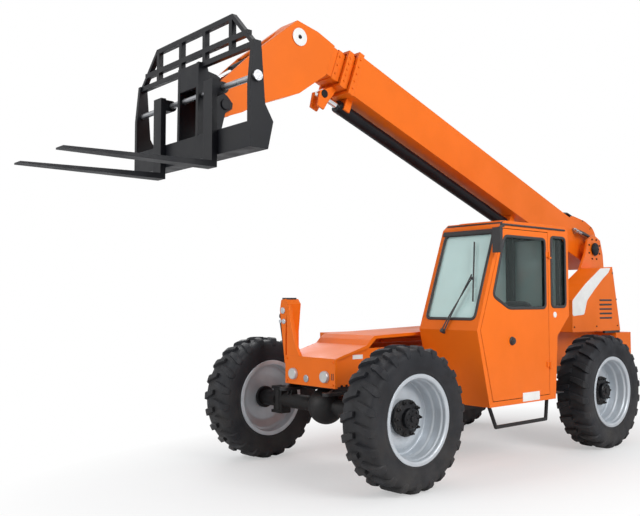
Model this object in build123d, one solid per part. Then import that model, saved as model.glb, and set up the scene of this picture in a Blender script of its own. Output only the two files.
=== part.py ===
from build123d import *
from math import cos, radians, sin
import os

# Telehandler: a four-wheel machine with a three-section boom and a fork carriage.
# Millimetres. X points forward, Y to the left, Z up. Sizes are written from the
# front axle's centre on the ground, and the finished pieces are then moved so
# that the origin lies under the middle of the whole machine.

os.makedirs("parts", exist_ok=True)

# Clearances
seat_gap = 0.3
pin_gap = 0.05
swing_gap = 6.0

# Wheels and axles
wheelbase = 3180.0
track = 2060.0
tyre_radius = 625.0
tyre_width = 370.0
bead_radius = 355.0
flange_radius = 388.0
flange_half = 170.0
flange_thick = 11.0
rim_wall = 12.0
kingpin_offset = 300.0
kingpin_radius = 30.0
knuckle_radius = 60.0
knuckle_half = 105.0
ear_thick = 30.0
beam_radius = 72.0
casing_radius = 175.0
spindle_radius = 50.0
hub_back = 70.0
hub_front = 95.0
dish_face = -22.0
dish_thick = 18.0
hub_bore_radius = 110.0

# Chassis
plate_inner = 300.0
plate_thick = 30.0
chassis_bottom = 745.0
chassis_belly = 470.0
chassis_top = 1180.0
front_face = 210.0
deck_half = 365.0
deck_skin = 30.0
sway_y = -515.0
sway_top_x = 125.0
sway_top_z = 1480.0
sway_foot_z = 745.0
sway_radius = 40.0
sway_pin_radius = 18.0
sway_eye_half = 20.0
tower_radius = 190.0
rear_face = -4640.0
tie_hole_x = 262.0
tie_low = 765.0
tie_thick = 30.0
tie_hole_radius = 20.0
hitch_x = -4738.0
hitch_radius = 16.0

# Boom
boom_angle = 20.0
pivot_x = -4350.0
pivot_z = 2300.0
pivot_pin_radius = 50.0
outer_half = 180.0
outer_low = -160.0
outer_high = 270.0
outer_wall = 14.0
outer_front = 4440.0
outer_rear = -290.0
section_gap = 20.0
section_travel = 2600.0
mid_wall = 12.0
mid_rear = 300.0
mid_front = 4540.0
fly_wall = 10.0
fly_rear = 600.0
collar_length = 70.0
collar_rise = 16.0
head_half = 125.0
head_plate = 20.0
head_slot = 66.0
extend_drop = -255.0
extend_radius = 65.0
extend_rod_radius = 35.0
extend_rear = 1350.0
extend_front = 4390.0
extend_eye = 4610.0
extend_eye_half = 39.0

# Lift cylinder
lift_base_x = -4050.0
lift_base_z = 840.0
lift_eye_s = 640.0
lift_eye_t = -280.0
lift_eye_radius = 55.0
lift_reach = 1090.0
lift_piston = 440.0
lift_radius = 75.0
lift_rod_radius = 40.0
lift_ear_gap = 50.0
lift_ear_thick = 30.0

# Fork carriage
head_pin_x = 1290.0
head_pin_z = 3310.0
head_pin_radius = 35.0
tilt_base_x = 439.0
tilt_base_z = 4096.0
tilt_eye_x = 1328.0
tilt_eye_z = 3527.0
tilt_radius = 50.0
tilt_rod_radius = 27.0
tilt_pin_radius = 25.0
tilt_half = 44.0
tilt_eye_half = 50.0
tilt_reach = 800.0
tilt_piston = 400.0
shaft_x = 1514.0
shaft_z = 3353.0
shaft_radius = 25.0
carriage_half = 920.0
post_thick = 40.0
fork_spacing = 816.0
fork_width = 130.0
fork_thick = 50.0
fork_length = 1217.0
fork_front = 109.0
fork_drop = 655.0
fork_tip = 14.0

# Cab
cab_inner = 440.0
cab_outer = 1150.0
cab_wall = 40.0
cab_floor = 630.0
door_rear = -2020.0
glass_thick = 8.0

# Engine pod
pod_front = -900.0
pod_rear = -2350.0
pod_inner = -445.0
hood_hinge_out = 14.0
hinge_pin_radius = 7.0
hinge_knuckle_radius = 12.0
hinge_knuckle_length = 55.0
pod_outer = -1130.0
pod_low = 560.0
pod_high = 1270.0
pod_wall = 25.0

# Hoses over the boom's tail
hose_radius = 14.0
hose_spacing = 42.0
hose_count = 5

# Hose loop behind the boom's tail sets how far back the machine reaches
tail_reach = -4780.0
fork_reach = shaft_x + fork_front + fork_length
centre_x = (tail_reach + fork_reach) / 2
to_row = Pos(-centre_x, 0, 0)
boom_place = Location((pivot_x, 0, pivot_z), (0, -boom_angle, 0))


def boom_point(s, t):
    """A point of the side view given along and across the boom, in x and z."""
    a = radians(boom_angle)
    return (pivot_x + s * cos(a) - t * sin(a), pivot_z + s * sin(a) + t * cos(a))


def block(x0, x1, y0, y1, z0, z1):
    """A box between pairs of coordinates."""
    size = Box(x1 - x0, y1 - y0, z1 - z0)
    return Pos((x0 + x1) / 2, (y0 + y1) / 2, (z0 + z1) / 2) * size


def slab(points, y0, y1):
    """A plate with an outline in x and z, between two y values."""
    face = make_face(Plane.XZ.offset(-y1) * Polyline(*points, close=True))
    return extrude(face, amount=y1 - y0, dir=(0, -1, 0))


def wall(points, x0, x1):
    """A plate with an outline in y and z, between two x values."""
    face = make_face(Plane.YZ.offset(x0) * Polyline(*points, close=True))
    return extrude(face, amount=x1 - x0, dir=(1, 0, 0))


def rod(start, end, radius):
    """A round bar between two points."""
    along = Vector(*end) - Vector(*start)
    bar = Cylinder(radius, along.length, align=(Align.CENTER, Align.CENTER, Align.MIN))
    return Plane(origin=start, z_dir=along) * bar


def cross_pin(x, z, radius, y0, y1):
    """A round bar across the machine."""
    return rod((x, y0, z), (x, y1, z), radius)


def both_sides(shape):
    """A shape and its mirror image on the other side of the machine."""
    return shape + mirror(shape, Plane.XZ)


def turned(points):
    """A ring turned about the Y axis from an outline in radius and y."""
    return revolve(make_face(Polyline(*points, close=True)), Axis.Y)


def save(node, shape):
    """Write one piece in the machine's own frame."""
    export_step(to_row * shape, "parts/" + node + ".step")


# Wheels: tyre, rim and hub, drawn with +Y pointing outwards
def tyre():
    shoulder = tyre_width / 2
    seat = flange_half - flange_thick - seat_gap
    bead = bead_radius + seat_gap
    side = flange_radius + seat_gap
    half = [
        (bead, seat),
        (side, seat),
        (side, seat + 12),
        (470, shoulder - 3),
        (530, shoulder),
        (580, shoulder - 8),
        (tyre_radius, shoulder - 35),
    ]
    other = [(r, -y) for r, y in reversed(half)]
    return turned(half + other)


def rim():
    inner = bead_radius - rim_wall
    seat = flange_half - flange_thick
    outline = [
        (flange_radius, flange_half),
        (flange_radius, seat),
        (bead_radius, seat),
        (bead_radius, -seat),
        (flange_radius, -seat),
        (flange_radius, -flange_half),
        (inner, -flange_half),
        (inner, dish_face - dish_thick - 40),
        (inner - 30, dish_face - dish_thick - 40),
        (240, dish_face - dish_thick),
        (hub_bore_radius + seat_gap, dish_face - dish_thick),
        (hub_bore_radius + seat_gap, dish_face),
        (248, dish_face),
        (inner - 34, dish_face - 34),
        (inner - 14, dish_face - 34),
        (inner - 14, 40),
        (inner, 60),
        (inner, flange_half),
    ]
    return turned(outline)


def hub():
    outline = [
        (0, hub_front),
        (78, hub_front),
        (90, hub_front - 12),
        (90, 45),
        (135, 32),
        (150, 18),
        (150, dish_face + seat_gap),
        (hub_bore_radius, dish_face + seat_gap),
        (hub_bore_radius, -hub_back),
        (spindle_radius + pin_gap, -hub_back),
        (spindle_radius + pin_gap, 5),
        (0, 5),
    ]
    return turned(outline)


def knuckle():
    king = -kingpin_offset
    column = Pos(0, king, 0) * Cylinder(knuckle_radius, 2 * (knuckle_half - seat_gap))
    trunnion = Pos(0, king, 0) * Cylinder(kingpin_radius, 2 * (knuckle_half + ear_thick))
    arm = cross_pin(0, 0, 78, king, -hub_back - seat_gap)
    stub = cross_pin(0, 0, spindle_radius, -hub_back - 10, 4)
    return column + trunnion + arm + stub


def axle():
    king = track / 2 - kingpin_offset
    web = king - knuckle_radius - 25
    beam = cross_pin(0, 0, beam_radius, -web, web)
    casing = Sphere(casing_radius)
    nose = rod((0, 0, 0), (-260, 0, 0), 80)
    top = knuckle_half + ear_thick
    yoke = block(-60, 60, web - 25, king + 55, -top, top)
    yoke -= block(-70, 70, web, king + 70, -knuckle_half, knuckle_half)
    yoke -= Pos(0, king, 0) * Cylinder(kingpin_radius + pin_gap, 3 * top)
    return beam + casing + nose + both_sides(yoke)


wheel_places = {
    "front_left": (0, 1),
    "front_right": (0, -1),
    "rear_left": (-wheelbase, 1),
    "rear_right": (-wheelbase, -1),
}
for corner, (x, side) in wheel_places.items():
    place = Pos(x, side * track / 2, tyre_radius)
    for name, piece in (("tyre", tyre()), ("rim", rim()), ("hub", hub()), ("knuckle", knuckle())):
        shape = piece if side > 0 else mirror(piece, Plane.XZ)
        save(name + "_" + corner, place * shape)
sway_ear = slab([(-45, 680), (-25, 775), (25, 775), (45, 680)], sway_y + sway_eye_half + 1, sway_y + sway_eye_half + 13)
sway_ears = sway_ear + Pos(0, -2 * sway_eye_half - 14, 0) * sway_ear
sway_ears += cross_pin(0, sway_foot_z, sway_pin_radius, sway_y - sway_eye_half - 18, sway_y + sway_eye_half + 18)
save("front_axle", Pos(0, 0, tyre_radius) * axle() + sway_ears)
save("rear_axle", Pos(-wheelbase, 0, tyre_radius) * Rot(0, 0, 180) * axle())

# Chassis: two side plates that rise into the boom's tower, with cross plates
side_outline = [
    (front_face - deck_skin - seat_gap, 830),
    (front_face - deck_skin - seat_gap, 1080),
    (-220, chassis_top),
    (-2900, chassis_top),
    (-3650, 1500),
    (pivot_x + 210, pivot_z - 60),
    (pivot_x + 150, pivot_z + 120),
    (pivot_x, pivot_z + tower_radius),
    (pivot_x - 150, pivot_z + 120),
    (pivot_x - 210, pivot_z - 60),
    (rear_face, 1500),
    (rear_face, chassis_bottom),
    (-2650, chassis_bottom),
    (-2350, chassis_belly),
    (-800, chassis_belly),
    (-500, chassis_bottom),
    (-100, chassis_bottom),
]
plate_outer = plate_inner + plate_thick
lug_web = [(40, 760), (40, 829), (175, 829), (240, tie_low + tie_thick), (240, tie_low)]
tie_y = plate_inner + plate_thick / 2
side_plate = slab(side_outline, plate_inner, plate_outer) + slab(lug_web, plate_inner, plate_outer)
tie_plate = block(60, tie_hole_x, tie_y - 45, tie_y + 45, tie_low, tie_low + tie_thick)
tie_plate += Pos(tie_hole_x, tie_y, tie_low + tie_thick / 2) * Cylinder(45, tie_thick)
side_plate += tie_plate
side_plate -= Pos(tie_hole_x, tie_y, tie_low) * Cylinder(tie_hole_radius, 200)
side_plate -= cross_pin(pivot_x, pivot_z, pivot_pin_radius + pin_gap, 0, 2 * plate_outer)
save("frame_plates", both_sides(side_plate))

# Cross members between the plates, each meeting them face to face
cross = block(-2350, -800, -plate_inner, plate_inner, chassis_belly, chassis_belly + 20)
casing_top = tyre_radius + casing_radius
for axle_x in (0, -wheelbase):
    shelf = block(axle_x - 120, axle_x + 120, -plate_inner, plate_inner, 830, 860)
    shelf += block(axle_x - 70, axle_x + 70, -plate_inner, plate_inner, casing_top + seat_gap, 832)
    cross += shelf
cross += block(-4480, -4450, -plate_inner, plate_inner, 800, 1820)
lift_shelf = block(lift_base_x - 100, lift_base_x + 100, -plate_inner, plate_inner, chassis_bottom, chassis_bottom + 30)
lift_ear = slab(
    [
        (lift_base_x - 90, chassis_bottom + 20),
        (lift_base_x - 60, lift_base_z + 60),
        (lift_base_x + 60, lift_base_z + 60),
        (lift_base_x + 90, chassis_bottom + 20),
    ],
    lift_ear_gap,
    lift_ear_gap + lift_ear_thick,
)
lift_shelf += both_sides(lift_ear)
lift_shelf += cross_pin(lift_base_x, lift_base_z, lift_rod_radius, -lift_ear_gap - 45, lift_ear_gap + 45)
cross += lift_shelf
cross += cross_pin(pivot_x, pivot_z, pivot_pin_radius, -plate_outer - 15, plate_outer + 15)
save("frame_cross", cross)

# Front deck: nose plate, sloping cover and the long cover beside the cab
deck_outline = [
    (front_face, 830),
    (front_face, 1100),
    (-190, 1210),
    (-240, 1260),
    (-300, 1300),
    (-2500, 1370),
    (-2500, 1340),
    (-320, 1270),
    (-220, chassis_top + 5),
    (front_face - deck_skin, 1086),
    (front_face - deck_skin, 830),
]
deck = slab(deck_outline, -deck_half, deck_half)
save("front_deck", deck)

# Sway tower and its cylinder, which levels the chassis on the front axle
sway_tower = wall(
    [
        (-deck_half - 10, 1020),
        (-deck_half - 90, 1540),
        (-deck_half - 70, 1640),
        (-deck_half - 10, 1650),
        (-deck_half + 30, 1600),
        (-deck_half - seat_gap, 1330),
        (-deck_half - seat_gap, 1020),
    ],
    40,
    front_face,
)
sway_tower += cross_pin(sway_top_x, sway_top_z, sway_pin_radius, sway_y - sway_eye_half - 12, -deck_half - 60)
save("sway_tower", sway_tower)
sway_top = (sway_top_x, sway_y, sway_top_z)
sway_foot = (0, sway_y, sway_foot_z)
sway_cylinder = rod((sway_top_x * 0.92, sway_y, sway_top_z - 60), (sway_top_x * 0.4, sway_y, 1035), sway_radius)
sway_cylinder += rod(sway_foot, sway_top, sway_eye_half - 1)
for eye_x, eye_z in ((sway_top_x, sway_top_z), (0, sway_foot_z)):
    sway_cylinder += cross_pin(eye_x, eye_z, 32, sway_y - sway_eye_half, sway_y + sway_eye_half)
for eye_x, eye_z in ((sway_top_x, sway_top_z), (0, sway_foot_z)):
    sway_cylinder -= cross_pin(eye_x, eye_z, sway_pin_radius + pin_gap, sway_y - 60, sway_y + 60)
save("sway_cylinder", sway_cylinder)

# Rear covers, counterweight
cover_outline = [
    (-3330, 1260),
    (-3330, 1640),
    (-3620, 1840),
    (-3980, 2040),
    (-4270, 2060),
    (-4440, 1260),
]
cover_half = 620.0
cover_skin = 15.0
cover_room = [
    (-3330 - cover_skin, 1240),
    (-3330 - cover_skin, 1630),
    (-3628, 1825),
    (-3984, 2024),
    (-4256, 2043),
    (-4424, 1240),
]
cover = slab(cover_outline, plate_outer + seat_gap, cover_half)
cover -= slab(cover_room, plate_outer - 10, cover_half - cover_skin)
save("rear_covers", both_sides(cover))
counterweight = block(rear_face - 60, -4330, -620, 620, 760, 1230)
weight_slot = plate_outer + seat_gap
counterweight -= block(rear_face - seat_gap, -4300, -weight_slot, weight_slot, 700, 1300)
for hitch_z in (850, 930):
    hitch = block(tail_reach, rear_face - 55, -55, 55, hitch_z, hitch_z + 20)
    counterweight += hitch - Pos(hitch_x, 0, hitch_z) * Cylinder(hitch_radius, 100)
save("counterweight", counterweight)

# Engine pod on the right-hand side, with its engine and hinged hood
pod = block(pod_rear, pod_front, pod_outer, pod_inner, pod_low, pod_high - 60)
pod -= block(
    pod_rear + pod_wall,
    pod_front - pod_wall,
    pod_outer + pod_wall,
    pod_inner - pod_wall,
    pod_low + pod_wall,
    pod_high + 10,
)
for bracket_x in (pod_rear + 200, pod_front - 300):
    pod += block(bracket_x, bracket_x + 100, pod_inner - 10, -plate_outer, 700, 900)
hood_low = pod_high - 60 + swing_gap
hood_axis_y = pod_inner + hood_hinge_out
hood_axis_z = hood_low - 3
hood_hinges = (pod_rear + 250, pod_front - 300)
for hinge_x in hood_hinges:
    pod += rod((hinge_x - 15, hood_axis_y, hood_axis_z), (hinge_x + hinge_knuckle_length, hood_axis_y, hood_axis_z),
               hinge_pin_radius)
    pod += rod((hinge_x - 15, hood_axis_y, hood_axis_z), (hinge_x, hood_axis_y, hood_axis_z), hinge_knuckle_radius)
    pod += block(hinge_x - 15, hinge_x, pod_inner + seat_gap, hood_axis_y + 10, hood_axis_z - 40, hood_axis_z)
    pod += block(hinge_x - 15, hinge_x, pod_inner - 5, pod_inner + 5, hood_axis_z - 40, pod_high - 62)
save("engine_pod", pod)
hood = block(pod_rear, pod_front, pod_outer, pod_inner, hood_low, pod_high)
hood -= block(
    pod_rear + pod_wall,
    pod_front - pod_wall,
    pod_outer + pod_wall,
    pod_inner - pod_wall,
    hood_low - 10,
    pod_high - pod_wall,
)
for hinge_x in hood_hinges:
    start = (hinge_x + seat_gap, hood_axis_y, hood_axis_z)
    end = (hinge_x + hinge_knuckle_length, hood_axis_y, hood_axis_z)
    knuckle_ring = rod(start, end, hinge_knuckle_radius)
    knuckle_ring += block(start[0], end[0], pod_inner, hood_axis_y - 8, hood_axis_z, hood_axis_z + 35)
    hood += knuckle_ring - rod((start[0] - 5, *start[1:]), (end[0] + 5, *end[1:]), hinge_pin_radius + pin_gap)
save("engine_hood", hood)
engine = block(-2150, -1250, -1020, -540, pod_low + pod_wall, 1130)
save("engine", engine)

# Cab: hollow shell with windows, door, glass and what the driver uses
cab_outline = [
    (-1030, cab_floor),
    (-850, 1355),
    (-1220, 2350),
    (-1300, 2410),
    (-2340, 2410),
    (-2400, 2350),
    (-2400, 1474),
    (-2180, 1270),
    (-2130, cab_floor),
]
cab_room = [
    (-1080, cab_floor + cab_wall),
    (-895, 1355),
    (-1265, 2345),
    (-1310, 2410 - cab_wall),
    (-2335, 2410 - cab_wall),
    (-2400 + cab_wall, 2330),
    (-2400 + cab_wall, 1490),
    (-2140, 1285),
    (-2090, cab_floor + cab_wall),
]
door_outline = [
    (-1085, cab_floor + 55),
    (-905, 1355),
    (-1270, 2330),
    (door_rear, 2330),
    (door_rear, cab_floor + 55),
]
door_hole = [
    (-1078, cab_floor + 49),
    (-898, 1355),
    (-1265, 2336),
    (door_rear - swing_gap, 2336),
    (door_rear - swing_gap, cab_floor + 49),
]
door_window = [
    (-1100, 1680),
    (-1290, 2260),
    (-1970, 2260),
    (-1970, 1560),
    (-1350, 1560),
]
rear_quarter = [(-2080, 1570), (-2080, 2290), (-2300, 2290), (-2340, 2240), (-2340, 1570)]
cab_in = cab_inner + cab_wall
cab_out = cab_outer - cab_wall
cab = slab(cab_outline, cab_inner, cab_outer) - slab(cab_room, cab_in, cab_out)
cab -= slab(door_hole, cab_out - 10, cab_outer + 10)
cab -= block(-1300, -700, cab_in + 20, cab_out - 20, 1460, 2290)
cab -= block(-2500, -2300, cab_in + 20, cab_out - 20, 1560, 2290)
cab -= slab(rear_quarter, cab_out - 10, cab_outer + 10)
cab -= block(-2250, -1350, cab_inner - 10, cab_in + 10, 1500, 2290)
cab += block(-2100, -1100, plate_outer, cab_inner + 10, 760, 840)
hinge_x = door_rear - swing_gap / 2
hinge_y = cab_outer + hood_hinge_out
door_hinges = (960, 2080)
for hinge_z in door_hinges:
    cab += block(hinge_x - 25, hinge_x, cab_outer - 5, hinge_y + 12, hinge_z - 15, hinge_z)
    cab += rod((hinge_x, hinge_y, hinge_z - 15), (hinge_x, hinge_y, hinge_z), hinge_knuckle_radius)
    cab += rod((hinge_x, hinge_y, hinge_z - 5), (hinge_x, hinge_y, hinge_z + hinge_knuckle_length), hinge_pin_radius)
cab -= block(door_rear - swing_gap, door_rear + 60, cab_outer - cab_wall, cab_outer, 700, 2300)
save("cab_shell", cab)
door = slab(door_outline, cab_out, cab_outer) - slab(door_window, cab_out - 10, cab_outer + 10)
for hinge_z in door_hinges:
    low = hinge_z + seat_gap
    high = hinge_z + hinge_knuckle_length
    ring = rod((hinge_x, hinge_y, low), (hinge_x, hinge_y, high), hinge_knuckle_radius)
    ring += block(hinge_x, hinge_x + 50, cab_outer, hinge_y - 4, low, high)
    door += ring - rod((hinge_x, hinge_y, low - 5), (hinge_x, hinge_y, high + 5), hinge_pin_radius + pin_gap)
save("door_frame", door)
glass_y = cab_outer - cab_wall / 2
door_glass = slab(door_window, glass_y - glass_thick / 2, glass_y + glass_thick / 2)
save("door_glass", door_glass)
front_glass = slab(
    [(-905, 1460), (-1214, 2290), (-1223, 2290), (-914, 1460)],
    cab_in + 20,
    cab_out - 20,
)
rear_glass = block(-2388, -2380, cab_in + 20, cab_out - 20, 1560, 2290)
quarter_glass = slab(rear_quarter, glass_y - glass_thick / 2, glass_y + glass_thick / 2)
side_glass = block(-2250, -1350, cab_inner + 16, cab_inner + 24, 1500, 2290)
save("cab_glass", front_glass + rear_glass + quarter_glass + side_glass)
handle = Pos(-1390, cab_outer + 12, 1243) * Rot(90, 0, 0) * Cylinder(32, 24 - 2 * seat_gap)
save("door_handle", handle)
seat = block(-1950, -1500, 590, 1030, 900, 1010) + block(-2010, -1900, 600, 1020, 960, 1640)
seat += block(-1900, -1600, 680, 940, cab_floor + cab_wall, 900)
save("seat", seat)
console = block(-1330, -1230, 700, 900, cab_floor + cab_wall, 1250)
console += rod((-1290, 800, 1240), (-1400, 800, 1330), 30)
console += Plane(origin=(-1400, 800, 1330), z_dir=(-110, 0, 90)) * Cylinder(190, 30)
save("steering_column", console)
step_path = [(-1070, 1110, cab_floor), (-1170, 1110, 432), (-2000, 1110, 432), (-2025, 1110, cab_floor)]
step = rod(step_path[0], step_path[1], 18) + rod(step_path[1], step_path[2], 18)
step += rod(step_path[2], step_path[3], 18) + Pos(*step_path[1]) * Sphere(18) + Pos(*step_path[2]) * Sphere(18)
step -= block(-2400, -800, 1000, 1200, cab_floor - seat_gap, 800)
save("cab_step", step)
mirror_head = block(-1130, -1090, 1156, 1246, 2090, 2330)
mirror_head += rod((-1110, 1190, 2310), (-1238, cab_outer + 18, 2360), 10)
mirror_head += block(-1255, -1222, cab_outer + seat_gap, cab_outer + 28, 2342, 2378)
save("mirror", mirror_head)
lamps = both_sides(rod((front_face + seat_gap, 230, 930), (front_face + 30, 230, 930), 45))
save("head_lamps", lamps)


# Boom sections, drawn along X with the boom's pivot at the origin
def box_section(half, low, high, thick, rear, front):
    """A square tube along the boom."""
    tube = block(rear, front, -half, half, low, high)
    return tube - block(rear - 10, front + 10, -half + thick, half - thick, low + thick, high - thick)


def collar(half, low, high, front, bore):
    """A raised band round the end of a section."""
    rise = collar_rise
    band = block(front - collar_length, front, -half - rise, half + rise, low - rise, high + rise)
    inset_half, inset_low, inset_high = bore
    return band - block(front - 200, front + 10, -inset_half, inset_half, inset_low, inset_high)


def nested(half, low, high, thick):
    """The half width and heights of the section that slides inside one."""
    shrink = thick + section_gap
    return (half - shrink, low + shrink, high - shrink)


mid_half, mid_low, mid_high = nested(outer_half, outer_low, outer_high, outer_wall)
fly_half, fly_low, fly_high = nested(mid_half, mid_low, mid_high, mid_wall)


def pads(inner, shell_half, shell_low, shell_high, x0, x1, on_inner):
    """Slide pads that fill the gap between two sections, fixed to one of them."""
    half, low, high = inner
    near = 0 if on_inner else seat_gap
    far = seat_gap if on_inner else 0
    shape = block(x0, x1, -half * 0.7, half * 0.7, high + near, shell_high - far)
    shape += block(x0, x1, -half * 0.7, half * 0.7, shell_low + far, low - near)
    mid_z = (low + high) / 2
    side = block(x0, x1, half + near, shell_half - far, mid_z - 100, mid_z + 100)
    return shape + both_sides(side)


outer_room = (outer_half - outer_wall, outer_low + outer_wall, outer_high - outer_wall)
mid_room = (mid_half - mid_wall, mid_low + mid_wall, mid_high - mid_wall)
mid_box = (mid_half, mid_low, mid_high)
fly_box = (fly_half, fly_low, fly_high)

outer = box_section(outer_half, outer_low, outer_high, outer_wall, outer_rear, outer_front)
outer += collar(outer_half, outer_low, outer_high, outer_front, outer_room)
outer += pads(mid_box, *outer_room, outer_front - 120, outer_front - 10, False)
pivot_tube = cross_pin(0, 0, 95, -plate_inner + seat_gap, plate_inner - seat_gap)
outer += pivot_tube
outer -= cross_pin(0, 0, pivot_pin_radius + pin_gap, -400, 400)
lift_lug = slab(
    [
        (lift_eye_s - 190, outer_low + 5),
        (lift_eye_s - 60, lift_eye_t - 60),
        (lift_eye_s + 60, lift_eye_t - 60),
        (lift_eye_s + 190, outer_low + 5),
    ],
    lift_ear_gap,
    lift_ear_gap + lift_ear_thick,
)
lift_boss = cross_pin(lift_eye_s, lift_eye_t, lift_rod_radius, lift_ear_gap, lift_ear_gap + 45)
outer += both_sides(lift_lug + lift_boss)
for saddle_x in (extend_rear + 60, extend_front - 120):
    saddle = block(saddle_x, saddle_x + 80, -80, 80, extend_drop - 30, outer_low + 5)
    outer += saddle - rod((saddle_x - 10, 0, extend_drop), (saddle_x + 100, 0, extend_drop), extend_radius + seat_gap)
save("boom_outer", boom_place * outer)

barrel = rod((extend_rear, 0, extend_drop), (extend_front, 0, extend_drop), extend_radius)
barrel -= rod((extend_rear + 50, 0, extend_drop), (extend_front - 60, 0, extend_drop), extend_radius - 12)
barrel -= rod((extend_front - 70, 0, extend_drop), (extend_front + 10, 0, extend_drop), extend_rod_radius + pin_gap)
save("extend_barrel", boom_place * barrel)

mid = box_section(mid_half, mid_low, mid_high, mid_wall, mid_rear, mid_front)
mid += collar(mid_half, mid_low, mid_high, mid_front, mid_room)
mid += pads(mid_box, *outer_room, mid_rear + 10, mid_rear + 150, True)
mid += pads(fly_box, *mid_room, mid_front - 110, mid_front - 10, False)
bracket = slab(
    [
        (mid_front - 60, mid_low - 10),
        (extend_eye - 65, extend_drop - 60),
        (extend_eye - 45, extend_drop - 150),
        (extend_eye + 45, extend_drop - 150),
        (extend_eye + 65, extend_drop),
        (mid_front, mid_low - 10),
    ],
    extend_eye_half + seat_gap,
    extend_eye_half + 20,
)
mid += both_sides(bracket)
save("boom_mid", boom_place * mid)

extend_rod = rod((extend_rear + 200, 0, extend_drop), (extend_eye - 20, 0, extend_drop), extend_rod_radius)
extend_rod += rod((extend_rear + 200, 0, extend_drop), (extend_rear + 260, 0, extend_drop), extend_radius - 12 - pin_gap)
extend_rod += cross_pin(extend_eye, extend_drop, 50, -extend_eye_half, extend_eye_half)
save("extend_rod", boom_place * extend_rod)

fly_front = 4900.0
fly = box_section(fly_half, fly_low, fly_high, fly_wall, fly_rear, fly_front)
fly += pads(fly_box, *mid_room, fly_rear + 10, fly_rear + 130, True)
head_outline = [
    (4700, fly_high + 8),
    (4930, fly_high + 20),
    (5190, 188),
    (5524, -370),
    (5789, -893),
    (5659, -1123),
    (5441, -933),
    (5329, -800),
    (4931, -449),
    (4700, fly_low - 20),
]
head_room = [
    (4600, fly_high - 10),
    (4930, fly_high - 5),
    (5172, 165),
    (5505, -380),
    (5580, -380),
    (5870, -900),
    (5870, -1200),
    (5400, -1000),
    (5317, -775),
    (4925, -422),
    (4720, fly_low + 10),
    (4600, fly_low + 10),
]
head = slab(head_outline, -head_half, head_half)
head_in = head_half - head_plate
head -= slab(head_room, -head_in, head_in)
head_channel = [
    (5240, 130),
    (5420, 250),
    (5900, -500),
    (5900, -1250),
    (5560, -1250),
    (5480, -900),
    (5420, -380),
]
head -= slab(head_channel, -head_slot, head_slot)
fly += head
fly = boom_place * fly
tip_pin = cross_pin(head_pin_x, head_pin_z, head_pin_radius, head_in - 10, head_half + 50)
fly += both_sides(cross_pin(head_pin_x, head_pin_z, 70, head_in, head_half) + tip_pin)
fly += both_sides(cross_pin(tilt_base_x, tilt_base_z, 42, tilt_half + 4, head_half + 8))
fly += cross_pin(tilt_base_x, tilt_base_z, tilt_pin_radius, -tilt_half - 10, tilt_half + 10)
save("boom_fly", fly)


def cylinder_barrel(base, eye, reach, radius, rod_radius, pin_radius, half):
    """A hydraulic barrel with its pin eye at base, aimed at the rod's eye."""
    start = Vector(base[0], 0, base[1])
    aim = (Vector(eye[0], 0, eye[1]) - start).normalized()
    tube = rod(start + aim * (radius * 1.4), start + aim * reach, radius)
    tube -= rod(start + aim * (radius * 2), start + aim * (reach - 50), radius - 10)
    tube += rod(start, start + aim * (radius * 1.6), radius * 0.6)
    tube -= rod(start + aim * (reach - 60), start + aim * (reach + 10), rod_radius + pin_gap)
    tube += cross_pin(base[0], base[1], radius * 0.85, -half, half)
    return tube - cross_pin(base[0], base[1], pin_radius + pin_gap, -2 * half, 2 * half)


def cylinder_rod(base, eye, depth, bore, rod_radius, eye_radius, half):
    """A hydraulic rod with a piston, from inside the barrel to its eye."""
    end = Vector(eye[0], 0, eye[1])
    aim = (end - Vector(base[0], 0, base[1])).normalized()
    length = (end - Vector(base[0], 0, base[1])).length
    start = end - aim * (length - depth)
    shape = rod(start, end - aim * (eye_radius * 0.5), rod_radius)
    shape += rod(start, start + aim * 60, bore)
    return shape + cross_pin(eye[0], eye[1], eye_radius, -half, half)


lift_base = (lift_base_x, lift_base_z)
lift_eye = boom_point(lift_eye_s, lift_eye_t)
save("lift_barrel", cylinder_barrel(lift_base, lift_eye, lift_reach, lift_radius, lift_rod_radius,
                                    lift_rod_radius, lift_ear_gap - 2))
save("lift_rod", cylinder_rod(lift_base, lift_eye, lift_piston, lift_radius - 10.3, lift_rod_radius,
                              lift_eye_radius, lift_ear_gap - 2))
tilt_base = (tilt_base_x, tilt_base_z)
tilt_eye = (tilt_eye_x, tilt_eye_z)
save("tilt_barrel", cylinder_barrel(tilt_base, tilt_eye, tilt_reach, tilt_radius, tilt_rod_radius,
                                    tilt_pin_radius, tilt_half))
save("tilt_rod", cylinder_rod(tilt_base, tilt_eye, tilt_piston, tilt_radius - 10.3, tilt_rod_radius,
                              42, tilt_eye_half))

hose_top = outer_high + hose_radius + seat_gap
hose_route = [
    (745, hose_top),
    (560, hose_top + 1),
    (379, 364),
    (-43, 386),
    (-240, 345),
    (-330, 250),
    (-392, 90),
    (-392, -40),
    (-250, -70),
]
hose_path = Plane.XZ * FilletPolyline(*hose_route, radius=[120, 120, 200, 100, 60, 100, 60])
hose_end = Plane(origin=hose_path @ 0, z_dir=hose_path % 0)
hose = sweep(hose_end * Circle(hose_radius), path=hose_path)
hoses = block(690, 760, -130, 130, outer_high + seat_gap, hose_top + 8)
hoses += block(-70, -30, -130, 130, outer_high + seat_gap, 396)
for row_place in range(hose_count):
    hoses += Pos(0, (row_place - (hose_count - 1) / 2) * hose_spacing, 0) * hose
save("boom_hoses", boom_place * hoses)

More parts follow.
